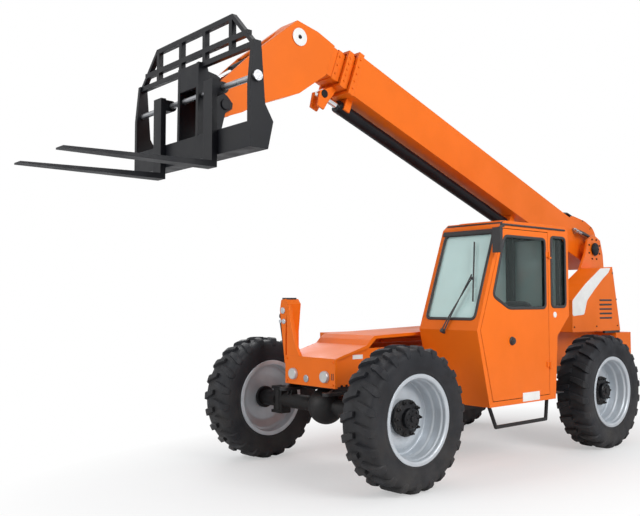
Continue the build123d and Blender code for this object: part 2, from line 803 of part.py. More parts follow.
# Fork carriage
beam_front = shaft_x + fork_front - fork_thick - 0.5
beam_back = 1400.0
carriage_low = 2800.0
carriage_high = 3635.0
post_outline = [
    (beam_back, carriage_low),
    (1350, 3020),
    (1430, 3150),
    (1470, carriage_high),
    (1540, carriage_high),
    (beam_front, 3300),
    (beam_front, carriage_low),
]
shaft_hole = cross_pin(shaft_x, shaft_z, shaft_radius + pin_gap, -carriage_half - 10, carriage_half + 10)
side_post = slab(post_outline, carriage_half - post_thick, carriage_half) - shaft_hole
carriage = both_sides(side_post)
carriage += block(beam_back, beam_front, -carriage_half, carriage_half, carriage_low, carriage_low + 200)
rail = 22.0
rail_x = 1505.0
for height in (3612.0, 3720.0):
    half = carriage_half if height < 3700 else 815.0
    carriage += block(rail_x - rail, rail_x + rail, -half, half, height - rail, height + rail)
carriage += block(rail_x - rail, rail_x + rail, -600, 600, 3900 - rail, 3900 + rail)
corner_bar = wall(
    [(carriage_half - 45, 3600), (carriage_half, 3600), (605, 3900 + rail), (560, 3900 + rail)],
    rail_x - rail,
    rail_x + rail,
)
carriage += both_sides(corner_bar)
for upright_y in (190.0, 580.0):
    post = block(rail_x - rail, rail_x + rail, upright_y - rail, upright_y + rail, 3600, 3900)
    carriage += both_sides(post)
ear_y = head_half + 6
centre_plate = slab(
    [
        (head_pin_x, head_pin_z - 75),
        (beam_back, carriage_low + 10),
        (beam_front - 5, carriage_low + 10),
        (1560, 3630),
        (1480, 3630),
        (1440, 3480),
        (head_pin_x - 20, head_pin_z + 75),
        (head_pin_x - 75, head_pin_z + 20),
        (head_pin_x - 70, head_pin_z - 30),
    ],
    ear_y,
    ear_y + 35,
)
centre_plate -= cross_pin(head_pin_x, head_pin_z, head_pin_radius + pin_gap, 0, 400)
centre_plate -= shaft_hole
carriage += both_sides(centre_plate)
tilt_lug = slab(
    [
        (tilt_eye_x - 45, tilt_eye_z - 25),
        (tilt_eye_x - 45, tilt_eye_z + 25),
        (tilt_eye_x, tilt_eye_z + 50),
        (1555, 3620),
        (1555, 3440),
        (1400, 3440),
    ],
    tilt_eye_half + 4,
    tilt_eye_half + 34,
)
carriage += both_sides(tilt_lug)
carriage += block(1532, 1560, -ear_y - 10, ear_y + 10, 3420, 3625)
save("carriage", carriage)
shaft = cross_pin(shaft_x, shaft_z, shaft_radius, -carriage_half - 25, carriage_half + 25)
cap = cross_pin(shaft_x, shaft_z, shaft_radius + 17, carriage_half + seat_gap, carriage_half + 25)
save("fork_shaft", shaft + both_sides(cap))


def fork(centre_y):
    """A pallet fork hung on the shaft: eye, shank and a blade that thins to its tip."""
    back = shaft_x + fork_front - fork_thick
    front = shaft_x + fork_front
    low = shaft_z - fork_drop
    outline = [
        (back, low),
        (back, shaft_z + 60),
        (front, shaft_z + 60),
        (front, low + fork_thick),
        (front + fork_length, low + fork_tip),
        (front + fork_length, low),
    ]
    y0 = centre_y - fork_width / 2
    y1 = centre_y + fork_width / 2
    shape = slab(outline, y0, y1) + cross_pin(shaft_x, shaft_z, 48, y0, y1)
    shape += block(shaft_x, front - 5, y0, y1, shaft_z - 48, shaft_z + 48)
    return shape - cross_pin(shaft_x, shaft_z, shaft_radius + pin_gap, y0 - 10, y1 + 10)


save("fork_left", fork(fork_spacing / 2))
save("fork_right", fork(-fork_spacing / 2))
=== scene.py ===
"""Telehandler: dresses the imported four-wheel machine with tyres, trim, seals, cushions and finishes."""
import math

import bmesh
import bpy
import numpy as np
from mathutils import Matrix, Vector


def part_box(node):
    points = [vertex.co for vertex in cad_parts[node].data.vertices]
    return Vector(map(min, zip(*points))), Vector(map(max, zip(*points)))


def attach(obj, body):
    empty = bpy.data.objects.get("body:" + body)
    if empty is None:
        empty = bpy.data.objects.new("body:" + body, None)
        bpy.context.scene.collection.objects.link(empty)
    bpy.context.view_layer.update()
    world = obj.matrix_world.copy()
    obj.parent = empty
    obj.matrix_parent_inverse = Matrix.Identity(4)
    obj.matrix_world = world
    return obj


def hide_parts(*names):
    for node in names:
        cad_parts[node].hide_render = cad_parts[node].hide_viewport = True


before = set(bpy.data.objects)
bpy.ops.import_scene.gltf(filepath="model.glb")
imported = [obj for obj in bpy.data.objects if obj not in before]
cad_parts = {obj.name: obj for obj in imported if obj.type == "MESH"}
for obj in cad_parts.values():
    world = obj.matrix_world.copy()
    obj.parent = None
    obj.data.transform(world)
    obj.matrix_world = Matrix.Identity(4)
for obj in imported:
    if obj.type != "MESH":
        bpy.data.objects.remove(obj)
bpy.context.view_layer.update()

bl_info = {
    "name": "Telehandler Dresser",
    "version": (1, 0, 0),
    "blender": (4, 5, 0),
    "location": "View3D > Sidebar > Telehandler",
    "description": "Adds tyres, rims, trim, cushions, finishes and a studio to the telehandler's frame",
    "category": "Object",
}

X = np.array([1.0, 0.0, 0.0])
Y = np.array([0.0, 1.0, 0.0])
Z = np.array([0.0, 0.0, 1.0])
CORNERS = ("front_left", "front_right", "rear_left", "rear_right")
FINISHES = {}


def low(node):
    """The lowest corner of a node of the frame."""
    return np.array(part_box(node)[0])


def high(node):
    """The highest corner of a node of the frame."""
    return np.array(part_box(node)[1])


def middle(node):
    """The middle of a node's box."""
    return (low(node) + high(node)) / 2


# Shapes worked out as arrays: each returns (points, faces)
def skin(points, wrap=True, ends=True):
    """Quads over a grid of points of shape (rows, columns, 3); wrap joins the last column to the
    first, and ends closes the first and last row with one face each."""
    rows, columns = points.shape[:2]
    index = np.arange(rows * columns).reshape(rows, columns)
    across = np.roll(index, -1, axis=1) if wrap else index[:, 1:]
    along = index if wrap else index[:, :-1]
    quads = np.stack([along[:-1], across[:-1], across[1:], along[1:]], axis=-1).reshape(-1, 4)
    faces = quads.tolist()
    if ends:
        faces += [index[0, ::-1].tolist(), index[-1].tolist()]
    return points.reshape(-1, 3), faces


def ring_skin(rings):
    """A skin whose last row is joined to its first, as in a hoop."""
    points, faces = skin(np.concatenate([rings, rings[:1]]), ends=False)
    count = len(points) - rings.shape[1]
    return points[:count], [[corner % count for corner in face] for face in faces]


def joined(parts):
    """Several shapes as one: each part's faces are shifted past the points before it."""
    points, faces, shift = [], [], 0
    for part_points, part_faces in parts:
        points.append(np.asarray(part_points))
        faces += [[corner + shift for corner in face] for face in part_faces]
        shift += len(part_points)
    return np.concatenate(points), faces


def softened(outline, radius, steps=5):
    """An outline whose corners are rounded: near each corner B, between A and C at one radius or
    0.45 of the edge away, it follows (1-t)^2 A + 2t(1-t) B + t^2 C."""
    outline = np.asarray(outline, float)
    radius = np.broadcast_to(np.asarray(radius, float), (len(outline),))
    before = np.roll(outline, 1, axis=0) - outline
    after = np.roll(outline, -1, axis=0) - outline
    reach_before = np.linalg.norm(before, axis=1)
    reach_after = np.linalg.norm(after, axis=1)
    start = outline + before / reach_before[:, None] * np.minimum(radius, 0.45 * reach_before)[:, None]
    end = outline + after / reach_after[:, None] * np.minimum(radius, 0.45 * reach_after)[:, None]
    t = np.linspace(0, 1, steps)[None, :, None]
    curve = (1 - t) ** 2 * start[:, None] + 2 * t * (1 - t) * outline[:, None] + t**2 * end[:, None]
    return curve.reshape(-1, outline.shape[1])


def turned(profile, centre, axis, steps=96):
    """A closed profile of (radius, height) turned about an axis: centre + height * axis
    + radius * (cos a * u + sin a * v), with u and v square to the axis."""
    profile = np.asarray(profile, float)
    u, v = square_to(axis)
    a = np.linspace(0, 2 * np.pi, steps, endpoint=False)[:, None, None]
    ring = np.cos(a) * u + np.sin(a) * v
    points = centre + profile[None, :, 1:] * axis + profile[None, :, :1] * ring
    points, faces = skin(points, wrap=True, ends=False)
    count = len(profile)
    last, first = (steps - 1) * count, 0
    for place in range(count):
        following = (place + 1) % count
        faces.append([last + place, last + following, first + following, first + place])
    return points, faces


def square_to(axis):
    """Two unit vectors square to an axis and to each other."""
    axis = np.asarray(axis, float) / np.linalg.norm(axis)
    helper = Z if abs(axis[2]) < 0.9 else X
    u = np.cross(helper, axis)
    u /= np.linalg.norm(u)
    return u, np.cross(axis, u)


def peg(start, end, radius, sides=20, chamfer=0.15):
    """A round bar with chamfered ends: rings at radius r and r * (1 - chamfer) along its axis."""
    start, end = np.asarray(start, float), np.asarray(end, float)
    axis = end - start
    length = np.linalg.norm(axis)
    axis = axis / length
    cut = min(radius * chamfer, 0.3 * length)
    u, v = square_to(axis)
    a = np.linspace(0, 2 * np.pi, sides, endpoint=False)
    ring = np.cos(a)[:, None] * u + np.sin(a)[:, None] * v
    places = np.array([0, cut, length - cut, length])[:, None, None]
    radii = np.array([radius - cut, radius, radius, radius - cut])[:, None, None]
    return skin(start + places * axis + radii * ring)


def pegs(places, axis, radius, height, sides=6, below=0.004):
    """Many nuts or bolt heads at once: the same chamfered prism at every place."""
    heads = [peg(p - below * axis, p + height * axis, radius, sides, 0.2) for p in np.atleast_2d(places)]
    return joined(heads)


def swept(path, section, up, closed=False):
    """A section (across, up) carried along a path: P + across * side + height * up', where side is
    square to the path and to the given up."""
    path, section = np.asarray(path, float), np.asarray(section, float)
    if closed:
        tangent = np.roll(path, -1, axis=0) - np.roll(path, 1, axis=0)
    else:
        tangent = np.gradient(path, axis=0)
    tangent /= np.linalg.norm(tangent, axis=1)[:, None]
    side = np.cross(tangent, up)
    side /= np.linalg.norm(side, axis=1)[:, None]
    top = np.cross(side, tangent)
    rings = path[:, None] + section[None, :, :1] * side[:, None] + section[None, :, 1:] * top[:, None]
    return ring_skin(rings) if closed else skin(rings)


def strip(start, end, section, up):
    """A straight bar of one section between two points."""
    return swept([start, end], section, up)


def oval(width, height, sides=12, power=2.0):
    """A rounded section: (w cos a, h sin a) with each power-curved towards a rounded box."""
    a = np.linspace(0, 2 * np.pi, sides, endpoint=False)
    c, s = np.cos(a), np.sin(a)
    across = np.sign(c) * np.abs(c) ** (2 / power) * width / 2
    return np.stack([across, np.sign(s) * np.abs(s) ** (2 / power) * height / 2], axis=1)


def smooth_path(points, steps=8, radius=0.08):
    """An open route with its inner corners rounded."""
    points = np.asarray(points, float)
    loop = softened(points, radius, steps).reshape(len(points), steps, 3)
    return np.concatenate([points[:1], loop[1:-1].reshape(-1, 3), points[-1:]])


def plate(outline, origin, across, up, low_level, high_level):
    """A flat plate: an outline in two directions, lifted to two levels along their normal."""
    normal = np.cross(across, up)
    flat = origin + np.asarray(outline)[:, :1] * across + np.asarray(outline)[:, 1:] * up
    rings = np.stack([flat + low_level * normal, flat + high_level * normal])
    return skin(rings)


def pillow(centre, half, power=3.0, crown=0.25, rows=20, columns=36):
    """A cushion: a rounded box |x/a|^p + |y/b|^p + |z/c|^p = 1 whose top swells by crown * c where
    cos u * cos v is greatest."""
    u = np.linspace(-np.pi / 2, np.pi / 2, rows)[1:-1, None]
    v = np.linspace(-np.pi, np.pi, columns, endpoint=False)[None]
    curve = lambda w: np.sign(w) * np.abs(w) ** (2 / power)
    x = half[0] * curve(np.cos(u)) * curve(np.cos(v))
    y = half[1] * curve(np.cos(u)) * curve(np.sin(v))
    z = half[2] * curve(np.sin(u)) * np.ones_like(v)
    swell = (1 - (x / half[0]) ** 2) * (1 - (y / half[1]) ** 2)
    z = z + crown * half[2] * swell * np.sign(z)
    return skin(centre + np.stack([x, y, z], axis=-1))


def rotated(shape, pivot, axis, degrees):
    """A shape turned about an axis through a pivot, by Rodrigues' rule."""
    points, faces = shape
    k = np.asarray(axis, float) / np.linalg.norm(axis)
    a = math.radians(degrees)
    p = points - pivot
    turned_points = p * math.cos(a) + np.cross(k, p) * math.sin(a)
    turned_points += np.outer(p @ k, k) * (1 - math.cos(a))
    return turned_points + pivot, faces


def linked(name, data):
    """A new object in the scene."""
    made = bpy.data.objects.new(name, data)
    bpy.context.scene.collection.objects.link(made)
    return made


def piece(name, shape, body, finish, sharp=38.0, bevel=0.0, replaces=()):
    """A finished piece: mesh, outward faces, crisp edges, finish, and the body that carries it."""
    points, faces = shape
    mesh = bpy.data.meshes.new(name)
    mesh.from_pydata(np.asarray(points).tolist(), [], faces)
    build = bmesh.new()
    build.from_mesh(mesh)
    bmesh.ops.recalc_face_normals(build, faces=build.faces)
    build.to_mesh(mesh)
    build.free()
    mesh.polygons.foreach_set("use_smooth", np.ones(len(mesh.polygons), bool))
    mesh.set_sharp_from_angle(angle=math.radians(sharp))
    made = linked(name, mesh)
    if bevel:
        edge = made.modifiers.new("Rounded edges", "BEVEL")
        edge.width = bevel
        edge.segments = 2
        edge.limit_method = "ANGLE"
        edge.angle_limit = math.radians(40)
    material, slot = FINISHES[finish]
    mesh.materials.append(material)
    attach(made, body)
    if replaces:
        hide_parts(*replaces)
    return made


# Node materials
class NodeWriter:
    """Adds nodes to a tree and joins their sockets."""

    def __init__(self, tree):
        self.tree = tree

    def add(self, kind, inputs=None, **settings):
        node = self.tree.nodes.new(kind)
        for key, value in settings.items():
            setattr(node, key, value)
        for key, value in (inputs or {}).items():
            self.feed(node.inputs[key], value)
        return node

    def feed(self, socket, value):
        if isinstance(value, bpy.types.NodeSocket):
            self.tree.links.new(value, socket)
        else:
            socket.default_value = value

    def between(self, value, from_low, from_high, to_low, to_high):
        """A value moved from one range to another."""
        node = self.add(
            "ShaderNodeMapRange",
            {
                "Value": value, "From Min": from_low, "From Max": from_high,
                "To Min": to_low, "To Max": to_high,
            },
        )
        return node.outputs["Result"]

    def arithmetic(self, operation, *values):
        """The result of one kind of arithmetic on two or three values."""
        node = self.add("ShaderNodeMath", operation=operation)
        for socket, value in zip(node.inputs, values):
            self.feed(socket, value)
        return node.outputs[0]

    def product(self, first, second):
        return self.arithmetic("MULTIPLY", first, second)

    def mixed(self, factor, first, second):
        """A mix of the outputs of two shader nodes."""
        node = self.add("ShaderNodeMixShader")
        for socket, value in zip(node.inputs, (factor, first.outputs[0], second.outputs[0])):
            self.feed(socket, value)
        return node.outputs[0]

    def blend(self, factor, first, second):
        """A colour between two colours."""
        node = self.add("ShaderNodeMix", data_type="RGBA")
        self.feed(node.inputs[0], factor)
        self.feed(node.inputs[6], first)
        self.feed(node.inputs[7], second)
        return node.outputs[2]


def new_group(name, inputs, outputs):
    """An empty shader node group with float inputs and the named outputs."""
    group = bpy.data.node_groups.new(name, "ShaderNodeTree")
    for label, default in inputs:
        socket = group.interface.new_socket(label, in_out="INPUT", socket_type="NodeSocketFloat")
        socket.default_value = default
    for label, kind in outputs:
        group.interface.new_socket(label, in_out="OUTPUT", socket_type=kind)
    writer = NodeWriter(group)
    return group, writer, writer.add("NodeGroupInput"), writer.add("NodeGroupOutput")


def grain_group():
    """Uneven patches and fine grain: two noises on Object coordinates at one scale and eight times it."""
    group, write, given, result = new_group(
        "Surface grain",
        [("Scale", 8.0), ("Fine", 8.0)],
        [("Patches", "NodeSocketFloat"), ("Height", "NodeSocketFloat")],
    )
    place = write.add("ShaderNodeTexCoord").outputs["Object"]
    scale = given.outputs["Scale"]
    coarse = write.add("ShaderNodeTexNoise", {"Vector": place, "Scale": scale, "Detail": 4.0})
    fine_scale = write.product(scale, given.outputs["Fine"])
    fine = write.add("ShaderNodeTexNoise", {"Vector": place, "Scale": fine_scale, "Detail": 3.0})
    write.feed(result.inputs["Patches"], write.between(coarse.outputs["Fac"], 0.35, 0.65, 0.0, 1.0))
    write.feed(result.inputs["Height"], fine.outputs["Fac"])
    return group


def edge_group():
    """Wear where the rounded normal leaves the flat one, broken up by noise, and the rounded normal."""
    group, write, given, result = new_group(
        "Edge wear",
        [("Radius", 0.004), ("Amount", 0.5)],
        [("Wear", "NodeSocketFloat"), ("Normal", "NodeSocketVector")],
    )
    rounded = write.add("ShaderNodeBevel", {"Radius": given.outputs["Radius"]}, samples=4)
    true = write.add("ShaderNodeNewGeometry").outputs["Normal"]
    dot = write.add("ShaderNodeVectorMath", operation="DOT_PRODUCT")
    write.feed(dot.inputs[0], rounded.outputs["Normal"])
    write.feed(dot.inputs[1], true)
    turn = write.between(dot.outputs["Value"], 0.98, 0.80, 0.0, 1.0)
    place = write.add("ShaderNodeTexCoord").outputs["Object"]
    chips = write.add("ShaderNodeTexNoise", {"Vector": place, "Scale": 35.0, "Detail": 5.0}).outputs["Fac"]
    broken = write.between(chips, 0.50, 0.62, 0.0, 1.0)
    worn = write.product(write.product(turn, broken), given.outputs["Amount"])
    write.feed(result.inputs["Wear"], worn)
    write.feed(result.inputs["Normal"], rounded.outputs["Normal"])
    return group


def dust_group():
    """Dust that thins with height above the ground, in uneven patches."""
    group, write, given, result = new_group(
        "Ground dust",
        [("Top", 1.0), ("Amount", 0.4)],
        [("Dust", "NodeSocketFloat")],
    )
    place = write.add("ShaderNodeTexCoord").outputs["Object"]
    height = write.add("ShaderNodeSeparateXYZ", {"Vector": place}).outputs["Z"]
    low_part = write.add(
        "ShaderNodeMapRange", {"Value": height, "From Min": 0.0, "To Min": 1.0, "To Max": 0.0},
    )
    write.feed(low_part.inputs["From Max"], given.outputs["Top"])
    patches = write.add("ShaderNodeTexNoise", {"Vector": place, "Scale": 5.0, "Detail": 6.0}).outputs["Fac"]
    cover = write.product(low_part.outputs["Result"], write.between(patches, 0.3, 0.75, 0.1, 1.0))
    write.feed(result.inputs["Dust"], write.product(cover, given.outputs["Amount"]))
    return group


class Finish(NodeWriter):
    """A material in the making: its tree, its shader and the shared effects."""

    def __init__(self, name, colour, rough, metal=0.0):
        self.name = name
        self.material = bpy.data.materials.new("finish_" + name)
        self.material.use_nodes = True
        super().__init__(self.material.node_tree)
        self.tree.nodes.clear()
        self.shader = self.add("ShaderNodeBsdfPrincipled")
        self.output = self.add("ShaderNodeOutputMaterial")
        self.feed(self.output.inputs["Surface"], self.shader.outputs["BSDF"])
        self.shader.inputs["Metallic"].default_value = metal
        self.colour = (*colour, 1.0)
        self.rough = rough
        self.surface = self.colour

    def effect(self, group_name, **inputs):
        node = self.add("ShaderNodeGroup", node_tree=bpy.data.node_groups[group_name])
        for key, value in inputs.items():
            node.inputs[key].default_value = value
        return node

    def grained(self, scale, fine, shade, rough_span, bump):
        """Patches change the colour by shade and the roughness by its span; the fine part is bump."""
        grain = self.effect("Surface grain", Scale=scale, Fine=fine)
        patches = grain.outputs["Patches"]
        darker = tuple(part * shade for part in self.colour[:3]) + (1.0,)
        self.surface = self.blend(patches, self.surface, darker)
        spread = self.between(patches, 0.0, 1.0, self.rough - rough_span, self.rough + rough_span)
        self.feed(self.shader.inputs["Roughness"], spread)
        self.bump = self.add("ShaderNodeBump", {"Height": grain.outputs["Height"], "Distance": bump})
        self.feed(self.shader.inputs["Normal"], self.bump.outputs["Normal"])

    def worn(self, radius, amount, bare):
        """Chipped edges of a bare colour, on softly rounded corners."""
        edge = self.effect("Edge wear", Radius=radius, Amount=amount)
        self.surface = self.blend(edge.outputs["Wear"], self.surface, (*bare, 1.0))
        self.feed(self.bump.inputs["Normal"], edge.outputs["Normal"])

    def dusted(self, top, amount, dust=(0.33, 0.29, 0.24)):
        layer = self.effect("Ground dust", Top=top, Amount=amount)
        self.surface = self.blend(layer.outputs["Dust"], self.surface, (*dust, 1.0))

    def done(self, slot, **sockets):
        """Joins the colour to the shader, sets its plain sockets and files the finish by name."""
        self.feed(self.shader.inputs["Base Color"], self.surface)
        for key, value in sockets.items():
            self.shader.inputs[key.replace("_", " ")].default_value = value
        FINISHES[self.name] = (self.material, slot)


# Near-black painted shade, for the cab's inside faces and the frame under the deck
PAINTED_SHADE_BLACK = (0.012, 0.012, 0.014, 1.0)


def place_parts(finish):
    """Object coordinates, whole and as x, y and z."""
    place = finish.add("ShaderNodeTexCoord").outputs["Object"]
    return place, finish.add("ShaderNodeSeparateXYZ", {"Vector": place}).outputs


def machine_paint(settings, name="machine_paint"):
    """Satin orange paint, lightly faded and chipped at its edges; the cab's inside faces are painted
    near-black as painted shade inside the cab.
    """
    finish = Finish(name, tuple(settings.paint), 0.42)
    finish.grained(2.2, 60.0, 0.93, 0.06, 0.0006)
    finish.worn(0.006, 0.35, (0.30, 0.13, 0.05))
    # Painted shade: for the cab, its inside faces are painted near-black
    if name == "cab_paint":
        finish.surface = finish.blend(cab_room(finish), finish.surface, PAINTED_SHADE_BLACK)
    finish.dusted(1.1, settings.dust * 0.5)
    finish.done("orange_paint", Coat_Weight=0.05, Coat_Roughness=0.2, Specular_IOR_Level=0.22)


def cab_paint(settings):
    """The paint of the cab and its door."""
    machine_paint(settings, "cab_paint")


def cab_room(finish):
    """1 in the cab's room, where the painted shade goes, and 0 outside: a box less what lies before
    the two slopes of its front, which are the planes x + slope * z = reach."""
    along, across, height = place_parts(finish)[1]
    inside = 1.0
    for slope, reach in ((0.374, 0.600), (-0.256, -0.250)):
        lean = finish.arithmetic("MULTIPLY_ADD", height, slope, along)
        inside = finish.product(inside, finish.between(lean, reach, reach + 0.001, 1.0, 0.0))
    for value, low_edge, high_edge in ((across, 0.45, 1.14), (height, 0.64, 2.40), (along, -1.42, 0.4)):
        inside = finish.product(inside, finish.between(value, low_edge, low_edge + 0.001, 0.0, 1.0))
        inside = finish.product(inside, finish.between(value, high_edge, high_edge + 0.001, 1.0, 0.0))
    return inside


def frame_paint(settings):
    """The same orange on the chassis, painted near-black below the deck's line as painted shade under the
    deck.
    """
    finish = Finish("frame_paint", tuple(settings.paint), 0.42)
    finish.grained(2.5, 50.0, 0.92, 0.07, 0.0008)
    height = place_parts(finish)[1]["Z"]
    # Painted shade: below the deck's line the frame is painted near-black where shade falls under the deck
    under = finish.between(height, 0.845, 0.835, 0.0, 1.0)
    finish.surface = finish.blend(under, finish.surface, PAINTED_SHADE_BLACK)
    finish.worn(0.006, 0.35, (0.16, 0.10, 0.07))
    finish.dusted(1.2, settings.dust)
    finish.done("orange_paint", Coat_Weight=0.1, Coat_Roughness=0.25, Specular_IOR_Level=0.35)


def seat_cloth(settings):
    """Woven black cloth: two sets of fine waves crossed on Object coordinates."""
    finish = Finish("seat_cloth", (0.030, 0.031, 0.036), 0.85)
    finish.grained(18.0, 20.0, 0.6, 0.06, 0.0008)
    place = place_parts(finish)[0]
    weft = finish.add("ShaderNodeTexWave", {"Vector": place, "Scale": 220.0}, bands_direction="X")
    warp = finish.add("ShaderNodeTexWave", {"Vector": place, "Scale": 220.0}, bands_direction="Y")
    weave = finish.product(weft.outputs["Fac"], warp.outputs["Fac"])
    finish.surface = finish.blend(weave, finish.surface, (0.07, 0.07, 0.08, 1.0))
    finish.done("seat_cover", Sheen_Weight=0.3)


def safety_glass(settings):
    """Green glass, see-through by its alpha: the screen pale and bright, its green tint its own and its
    brightness painted light of the white backdrop seen through it; the door's side darker, painted shade of
    the cab behind it.
    """
    # Green tint with painted light: the pale, bright colour stands in for the white backdrop seen through the
    # screen
    finish = Finish("safety_glass", (0.74, 1.0, 0.97), 0.06)
    finish.grained(3.0, 10.0, 0.96, 0.03, 0.0001)
    across = place_parts(finish)[1]["Y"]
    # Painted shade: the door's side glass is painted dark for the shaded cab behind it
    painted_shade_door_side = finish.between(across, 1.10, 1.12, 0.0, 1.0)
    finish.surface = finish.blend(painted_shade_door_side, finish.surface, (0.035, 0.055, 0.052, 1.0))
    finish.feed(finish.shader.inputs["Alpha"], finish.between(painted_shade_door_side, 0.0, 1.0, 0.80, 0.22))
    finish.done("tinted_glass", Specular_IOR_Level=0.5)


def lamp_glass(settings):
    """Clear ribbed lens over a pale reflector."""
    finish = Finish("lamp_glass", (0.80, 0.80, 0.76), 0.16)
    finish.grained(20.0, 4.0, 0.85, 0.05, 0.0005)
    place = place_parts(finish)[0]
    ribs = finish.add("ShaderNodeTexWave", {"Vector": place, "Scale": 60.0}, bands_direction="Y")
    finish.surface = finish.blend(ribs.outputs["Fac"], finish.surface, (0.45, 0.45, 0.44, 1.0))
    finish.done("lamp_glass", Coat_Weight=0.8, Coat_Roughness=0.05)


FINISH_MAKERS = (machine_paint, cab_paint, frame_paint, seat_cloth, safety_glass, lamp_glass)


def plain_finish(settings, name, colour, rough, grain, slot, metal=0.0, wear=None, dust=None, **sockets):
    """A finish of grain, edge wear and dust alone. Dust is its top and its share of the setting."""
    finish = Finish(name, colour, rough, metal)
    finish.grained(*grain)
    if wear:
        finish.worn(*wear)
    if dust:
        finish.dusted(dust[0], settings.dust * dust[1])
    finish.done(slot, **sockets)


PLAIN_FINISHES = (
    # Satin black paint of the carriage, forks and cylinders, worn to dull steel at its edges
    dict(
        name="black_paint", colour=(0.004, 0.0045, 0.0065), rough=0.42,
        grain=(5.0, 30.0, 1.5, 0.08, 0.0008), wear=(0.004, 0.5, (0.10, 0.105, 0.12)), dust=(0.9, 1.0),
        slot="black_paint", Specular_IOR_Level=0.22,
    ),
    # Silver-grey wheel paint with a soft metal sheen; its colour is a setting
    dict(
        name="wheel_paint", colour=None, rough=0.38, metal=0.35,
        grain=(6.0, 40.0, 0.88, 0.07, 0.0006), wear=(0.004, 0.4, (0.30, 0.30, 0.31)), dust=(1.3, 0.5),
        slot="silver_paint", Coat_Weight=0.2, Coat_Roughness=0.25,
    ),
    # Rough black-painted casting of axles, hubs and the engine
    dict(
        name="cast_iron", colour=(0.005, 0.005, 0.006), rough=0.52,
        grain=(9.0, 14.0, 1.7, 0.10, 0.0025), wear=(0.008, 0.4, (0.13, 0.12, 0.12)), dust=(1.0, 1.0),
        slot="cast_iron", Specular_IOR_Level=0.28,
    ),
    # Turned steel of pins, bolts and the fork shaft
    dict(
        name="bright_steel", colour=(0.45, 0.46, 0.48), rough=0.34, metal=1.0,
        grain=(20.0, 12.0, 0.8, 0.10, 0.0006), wear=(0.003, 0.3, (0.7, 0.7, 0.72)), slot="steel",
    ),
    # Polished rods with a faint film of oil
    dict(
        name="hard_chrome", colour=(0.78, 0.80, 0.82), rough=0.12, metal=1.0,
        grain=(12.0, 10.0, 0.93, 0.05, 0.0001), slot="chrome_rod",
    ),
    # Dark slate rubber with a matt bloom and dust in the tread
    dict(
        name="tyre_rubber", colour=(0.008, 0.0095, 0.014), rough=0.62,
        grain=(7.0, 25.0, 0.72, 0.09, 0.0015), dust=(1.3, 1.0), slot="tyre_rubber", Specular_IOR_Level=0.32,
    ),
    # Matt black hose cover
    dict(
        name="hose_rubber", colour=(0.018, 0.018, 0.020), rough=0.60,
        grain=(30.0, 12.0, 1.6, 0.08, 0.0006), slot="hose_rubber",
    ),
    # Grained black plastic of seals, the dash and the mirror's shell
    dict(
        name="black_plastic", colour=(0.016, 0.016, 0.018), rough=0.50,
        grain=(14.0, 40.0, 1.4, 0.08, 0.0006), wear=(0.003, 0.2, (0.06, 0.06, 0.065)), slot="black_plastic",
    ),
    # Blank white film with faint scuffs
    dict(
        name="pale_decal", colour=(0.88, 0.88, 0.86), rough=0.42,
        grain=(12.0, 20.0, 0.93, 0.08, 0.0002), dust=(1.2, 0.3), slot="silver_paint",
    ),
    # Red tail lens
    dict(
        name="lamp_red", colour=(0.45, 0.010, 0.008), rough=0.20,
        grain=(20.0, 4.0, 0.8, 0.05, 0.0005), slot="lamp_glass", Coat_Weight=0.8, Coat_Roughness=0.05,
    ),
    # Silvered glass with a few water marks
    dict(
        name="mirror_glass", colour=(0.80, 0.83, 0.86), rough=0.05, metal=1.0,
        grain=(9.0, 12.0, 0.92, 0.03, 0.00005), slot="chrome_rod",
    ),
)

# Which finish each kind of node takes, by the start of its name
NODE_FINISHES = (
    ("machine_paint", ("boom_outer", "boom_mid", "boom_fly", "front_deck", "rear_covers", "counterweight")),
    ("machine_paint", ("engine_pod", "engine_hood", "sway_tower")),
    ("cab_paint", ("cab_shell", "door_frame")),
    ("frame_paint", ("frame_plates",)),
    ("black_paint", ("frame_cross", "carriage", "fork_left", "fork_right", "extend_barrel", "lift_barrel")),
    ("black_paint", ("tilt_barrel", "sway_cylinder", "cab_step", "hub_")),
    ("cast_iron", ("front_axle", "rear_axle", "knuckle_", "engine")),
    ("wheel_paint", ("rim_",)),
    ("bright_steel", ("fork_shaft",)),
    ("hard_chrome", ("extend_rod", "lift_rod", "tilt_rod")),
    ("tyre_rubber", ("tyre_",)),
    ("hose_rubber", ("boom_hoses",)),
    ("black_plastic", ("steering_column", "mirror", "door_handle")),
    ("seat_cloth", ("seat",)),
    ("safety_glass", ("cab_glass", "door_glass")),
    ("lamp_glass", ("head_lamps",)),
)


class FinishSettings(bpy.types.PropertyGroup):
    paint: bpy.props.FloatVectorProperty(
        name="Paint", description="Colour of the machine's paint", subtype="COLOR", size=3,
        min=0.0, max=1.0, default=(0.90, 0.168, 0.006),
    )
    wheel: bpy.props.FloatVectorProperty(
        name="Wheel paint", description="Colour of the rims", subtype="COLOR", size=3,
        min=0.0, max=1.0, default=(0.56, 0.60, 0.64),
    )
    dust: bpy.props.FloatProperty(
        name="Dust", description="How much dust lies on the low parts", default=0.12, min=0.0, max=1.0,
    )


class WheelSettings(bpy.types.PropertyGroup):
    lug_count: bpy.props.IntProperty(
        name="Lugs", description="Tread bars in each of the two rows", default=22, min=8, max=40,
    )
    lug_width: bpy.props.FloatProperty(
        name="Lug width", description="Width of a tread bar at the shoulder", default=0.074, unit="LENGTH",
    )
    lug_sweep: bpy.props.FloatProperty(
        name="Lug sweep", description="How far a bar leans round the tyre from its middle to the shoulder",
        default=0.060, unit="LENGTH",
    )
    nut_count: bpy.props.IntProperty(
        name="Wheel nuts", description="Nuts round each hub", default=10, min=4, max=16,
    )
    nut_circle: bpy.props.FloatProperty(
        name="Nut circle", description="Radius of the circle of nuts", default=0.140, unit="LENGTH",
    )


